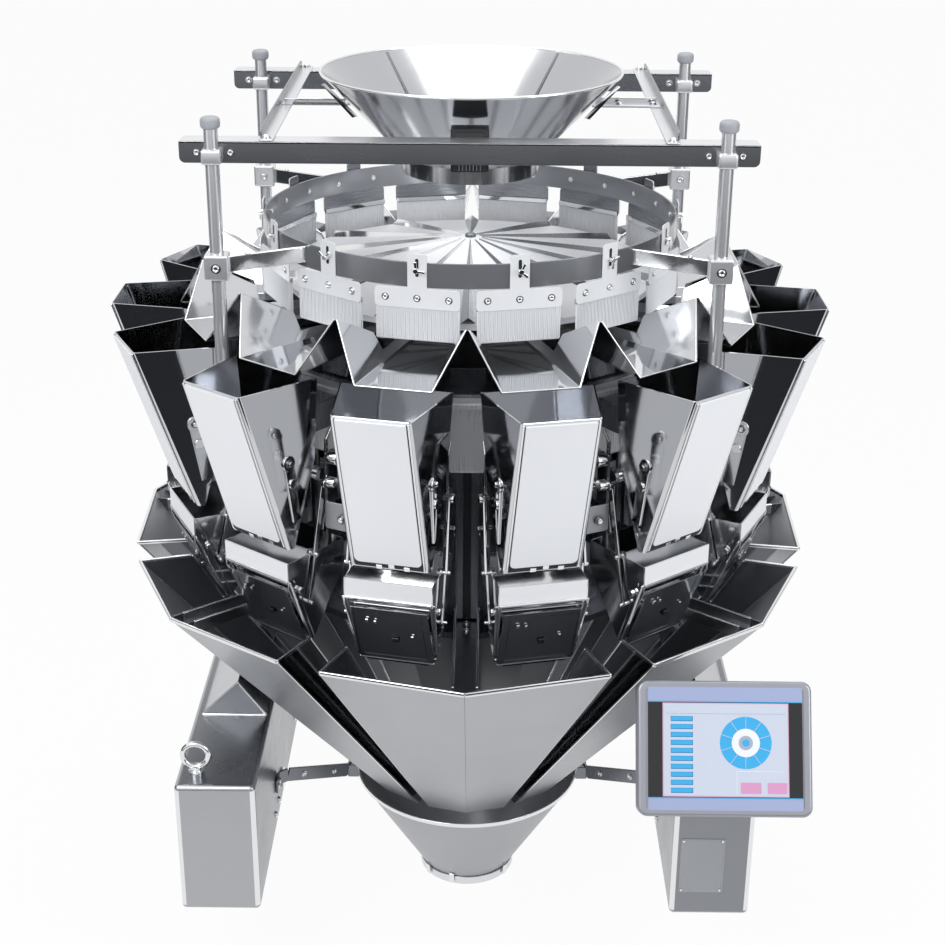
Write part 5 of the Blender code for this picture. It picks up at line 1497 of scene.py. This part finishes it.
def lifting_eye(x, y):
    top = BASE_HEIGHT + 0.012
    collar = pin("eye_collar", (x, y, BASE_HEIGHT - MM), (x, y, top), 0.0125, BRIGHT, 28)
    neck = pin("eye_neck", (x, y, top - MM), (x, y, top + 6 * MM), 0.0095, BRIGHT, 24)
    ring = torus("eye_ring", (x, y, top + 0.0245), 0.020, 0.0048, 48, 14, (math.radians(90), 0, 0))
    return [collar, neck, ring]


def base_box(side):
    """One box, with light and shade painted on its faces: a painted highlight on its rounded front bends,
    painted shade on its top and inner side, and on the right box a front painted darker as shade.
    """
    inner, outer = sorted((side * BASE_INNER, side * BASE_OUTER))
    box = block("base_box", (inner, -BASE_HALF_DEPTH, 0), (outer, BASE_HALF_DEPTH, BASE_HEIGHT))
    round_all(box, 8 * MM, 5)
    paint(box, BRUSHED)
    # The right box's front is painted darker as shade, the rounded front bends carry a painted highlight, and
    # the top and inner side are painted dark as shade.
    if side > 0:
        face_finish(box, faces_front, BOX_FRONT_PAINTED_SHADE)
    face_finish(box, painted_highlight_bend, BRIGHT)
    face_finish(box, lambda centre, normal: normal.z > 0.9 or side * normal.x < -0.9, DARK_PAINTED_SHADE)
    smooth(box)
    return box


# The faces of the rounded upright front edges, where a highlight is painted.
def painted_highlight_bend(centre, normal):
    return abs(normal.x) > 0.1 and normal.y < -0.1 and abs(normal.z) < 0.1


def roof_foot(side):
    """The roof-shaped foot on a box, its front welds, and its two ribs up to the housing."""
    front, low = -FOOT_FRONT + MM, BASE_HEIGHT + MM
    outline = [(side * x, -FOOT_FRONT, z) for x, z in (
        (FOOT_OUTER, BASE_HEIGHT - MM), (RIDGE_X, RIDGE_Z), (FOOT_INNER, BASE_HEIGHT - MM))]
    parts = [prism("base_foot", outline, (0, FOOT_FRONT + FOOT_REAR, 0), FOOT_STEEL, 3 * MM)]
    crest = (side * RIDGE_X, front + MM, RIDGE_Z)
    corners = [(side * x, front, low) for x in (FOOT_OUTER, FOOT_INNER)]
    for corner in corners:
        parts.append(bar("weld", corner, crest, 4 * MM, 4 * MM, BRIGHT, 1.5 * MM))
    parts.append(bar("weld", corners[1], corners[0], 7 * MM, 7 * MM, BRIGHT, 3 * MM))
    for angle in BETWEEN_ANGLES[1:3]:
        seat = min(RIDGE_X / math.sin(angle), 0.4) - 0.012
        spine = [polar(side * angle, seat, RIDGE_Z - 0.020), polar(side * angle, 0.300, 0.478)]
        parts.append(bar("rib", *spine, 0.022, 0.034, FOOT_STEEL, 3 * MM))
    return parts


def rating_plate():
    """The bare plate on the right box's front, with its border and four rivets."""
    front = -BASE_HALF_DEPTH
    plate = block("rating_plate", (0.3385, front - MM, 0.044), (0.4075, front + 0.2 * MM, 0.144))
    soften(plate, along_y, 3 * MM, 3)
    inset(paint(plate, PLATE), faces_front, (2.2 * MM, 0), (0.8 * MM, -0.5 * MM))
    parts = [plate]
    for x in (0.3425, 0.4035):
        for z in (0.048, 0.140):
            ends = (x, front - 0.8 * MM, z), (x, front - 2.2 * MM, z)
            parts.append(pin("rivet", *ends, 2 * MM, BRIGHT, 12))
    return parts


def make_base(side, name):
    parts = [base_box(side), *roof_foot(side)]
    for end in (-1, 1):
        parts += lifting_eye(side * 0.420, end * (BASE_HALF_DEPTH - 0.0325))
    for y in (-0.330, -0.150, 0.010, 0.180):
        parts.append(screw_at((side * (BASE_OUTER - 0.5 * MM), y, 0.205), (side, 0, 0), 1.2))
    for y, z in ((-0.150, 0.030), (-0.105, 0.030), (0.160, 0.035), (0.205, 0.035)):
        parts.append(screw_at((side * (BASE_INNER + 0.5 * MM), y, z), (-side, 0, 0), 1.6))
    ends = [(side * (BASE_INNER - 3 * MM), -0.060, z) for z in (0.030, 0.064)]
    parts.append(bar("clip", *ends, 0.014, 5 * MM, BRIGHT, 1.5 * MM, up=(side, 0, 0)))
    if side > 0:
        parts += rating_plate()
    return join(name, parts)


for side, name in ((-1, "base_left"), (1, "base_right")):
    place(make_base(side, f"{name}_visual"), nodes=[name])
print("bases ready")

# %% [markdown]
# The control panel is made flat and upright at the origin and then tipped back on its two
# cheeks. Its screen shows only plain shapes: a column of buttons, a ring of ten fields and two
# keys, with no words. Each is a thin inlay of coloured plastic over black glass.

# %% Control panel
PANEL_AT = Vector((0.3677, -0.5384, 0.4142))
PANEL_TILT = math.radians(30)


def inlay(finish, lift, x0, z0, x1, z1, corner=0.0):
    """A thin plate on the screen between two corners in millimetres; a higher lift lies on top."""
    plate = block("inlay", (x0 * MM, -0.25 * MM * lift, z0 * MM), (x1 * MM, 0.5 * MM, z1 * MM))
    if corner:
        soften(plate, along_y, corner, 3)
    return paint(plate, finish)


def dial(finish, lift, radius):
    """A disc of the round field, its radius in millimetres."""
    x, z = DIAL
    ends = (x * MM, 0.5 * MM, z * MM), (x * MM, -0.25 * MM * lift, z * MM)
    return dress(drum_blank("disc", *ends, radius * MM, 64), finish)


DIAL = (29.2, 8.4)
DIAL_RADIUS, DIAL_FIELDS = 36.5, 10
# Finish, lift, lower left and upper right corners in millimetres, and a corner radius.
SCREEN = [
    (SCREEN_STRIP, 1, -108.5, -86, 109.5, 86, 2 * MM), (SCREEN_BLACK, 2, -108.5, -68, 109.5, 65),
    (SCREEN_PINK, 3, -88, -67, 90, 64), (SCREEN_PALE, 4, -86.5, -65.5, 88.5, 62.5),
    (SCREEN_BLUE, 3, -108.5, 65, 109.5, 66.2), (SCREEN_BLUE, 3, -108.5, -69.2, 109.5, -68),
    (SCREEN_GREY, 5, -84, 48.6, 86, 49.2)]
for row in range(10):
    z = 41.6 - row * 11.1
    SCREEN.append((SCREEN_DEEP, 5, -76.5, z - 3.6, -45.4, z + 3.6))
    SCREEN.append((SCREEN_BLUE, 6, -76.0, z - 2.6, -46.4, z + 3.2))
LOWER_SCREEN = [
    (SCREEN_WHITE, 5, 16, -31.6, 84, -31), (SCREEN_WHITE, 5, 16, -64, 16.6, -31),
    (SCREEN_KEY, 6, 21.8, -62.1, 50.5, -46.9, MM), (SCREEN_KEY, 6, 59.8, -62.1, 86.9, -46.9, MM)]
case = block("panel_case", (-0.1235, 0, -0.095), (0.1235, 0.035, 0.095))
soften(case, along_y, 14 * MM, 6)
round_all(case, 5 * MM, 4)
inset(case, lambda centre, normal: normal.y < -0.99, (7 * MM, 0), (0.6 * MM, -0.8 * MM))
panel_parts = [dress(case, BEZEL), *[inlay(*row) for row in SCREEN], dial(SCREEN_BLUE, 5, DIAL_RADIUS)]
hub = Vector((DIAL[0], -1.4, DIAL[1])) * MM
for step in range(DIAL_FIELDS):
    angle = step * 2 * math.pi / DIAL_FIELDS + 0.01
    tip = hub + Vector((math.sin(angle), 0, math.cos(angle))) * (DIAL_RADIUS - 0.3) * MM
    panel_parts.append(bar("spoke", hub, tip, 0.7 * MM, 0.4 * MM, SCREEN_PALE, 0, up=OUTWARD))
panel_parts += [dial(SCREEN_WHITE, 7, 19.9), dial(SCREEN_GREY, 8, 10.0), dial(SCREEN_BLUE, 9, 5.2)]
panel = join("panel", [*panel_parts, *[inlay(*row) for row in LOWER_SCREEN]])
turn = Matrix.Rotation(-PANEL_TILT, 4, "X")
panel.matrix_world = Matrix.Translation(PANEL_AT) @ turn
settle(panel)


def panel_point(y, z):
    return PANEL_AT + turn @ Vector((0, y, z))


low_seat, high_seat = panel_point(0.034, -0.038), panel_point(0.034, 0.0633)
CHEEK = [(-0.3655, BASE_HEIGHT), (low_seat.y, low_seat.z), (high_seat.y, high_seat.z), (-0.3305, BASE_HEIGHT)]
cheeks = []
for offset in (-0.030, 0.030):
    cheeks.append(sheet("cheek", [(PANEL_AT.x + offset, y, z) for y, z in CHEEK], 4 * MM, SATIN))
back_box = dress(block("panel_back", (-0.070, 0.033, -0.050), (0.070, 0.046, 0.060)), BEZEL, 4 * MM, 3)
back_box.matrix_world = Matrix.Translation(PANEL_AT) @ turn
settle(back_box)
panel = place(join("panel", [panel, *cheeks, back_box]), nodes=["control_panel"])
print("panel", len(panel.data.polygons), "faces")

# %% [markdown]
# The model screw has been copied wherever it is needed, so it goes.

# %% Clear the patterns
forget(SCREW)
print("patterns cleared")

# %% [markdown]
# The finished machine's box is worked out and printed, with the CAD model's box kept beside it.
# The finished machine has to stay as large as the CAD model.

# %% Finish
size = {"cad": CAD_BOX, "visual": [list(corner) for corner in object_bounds()]}
print("visual box", [[round(value, 3) for value in corner] for corner in size["visual"]])
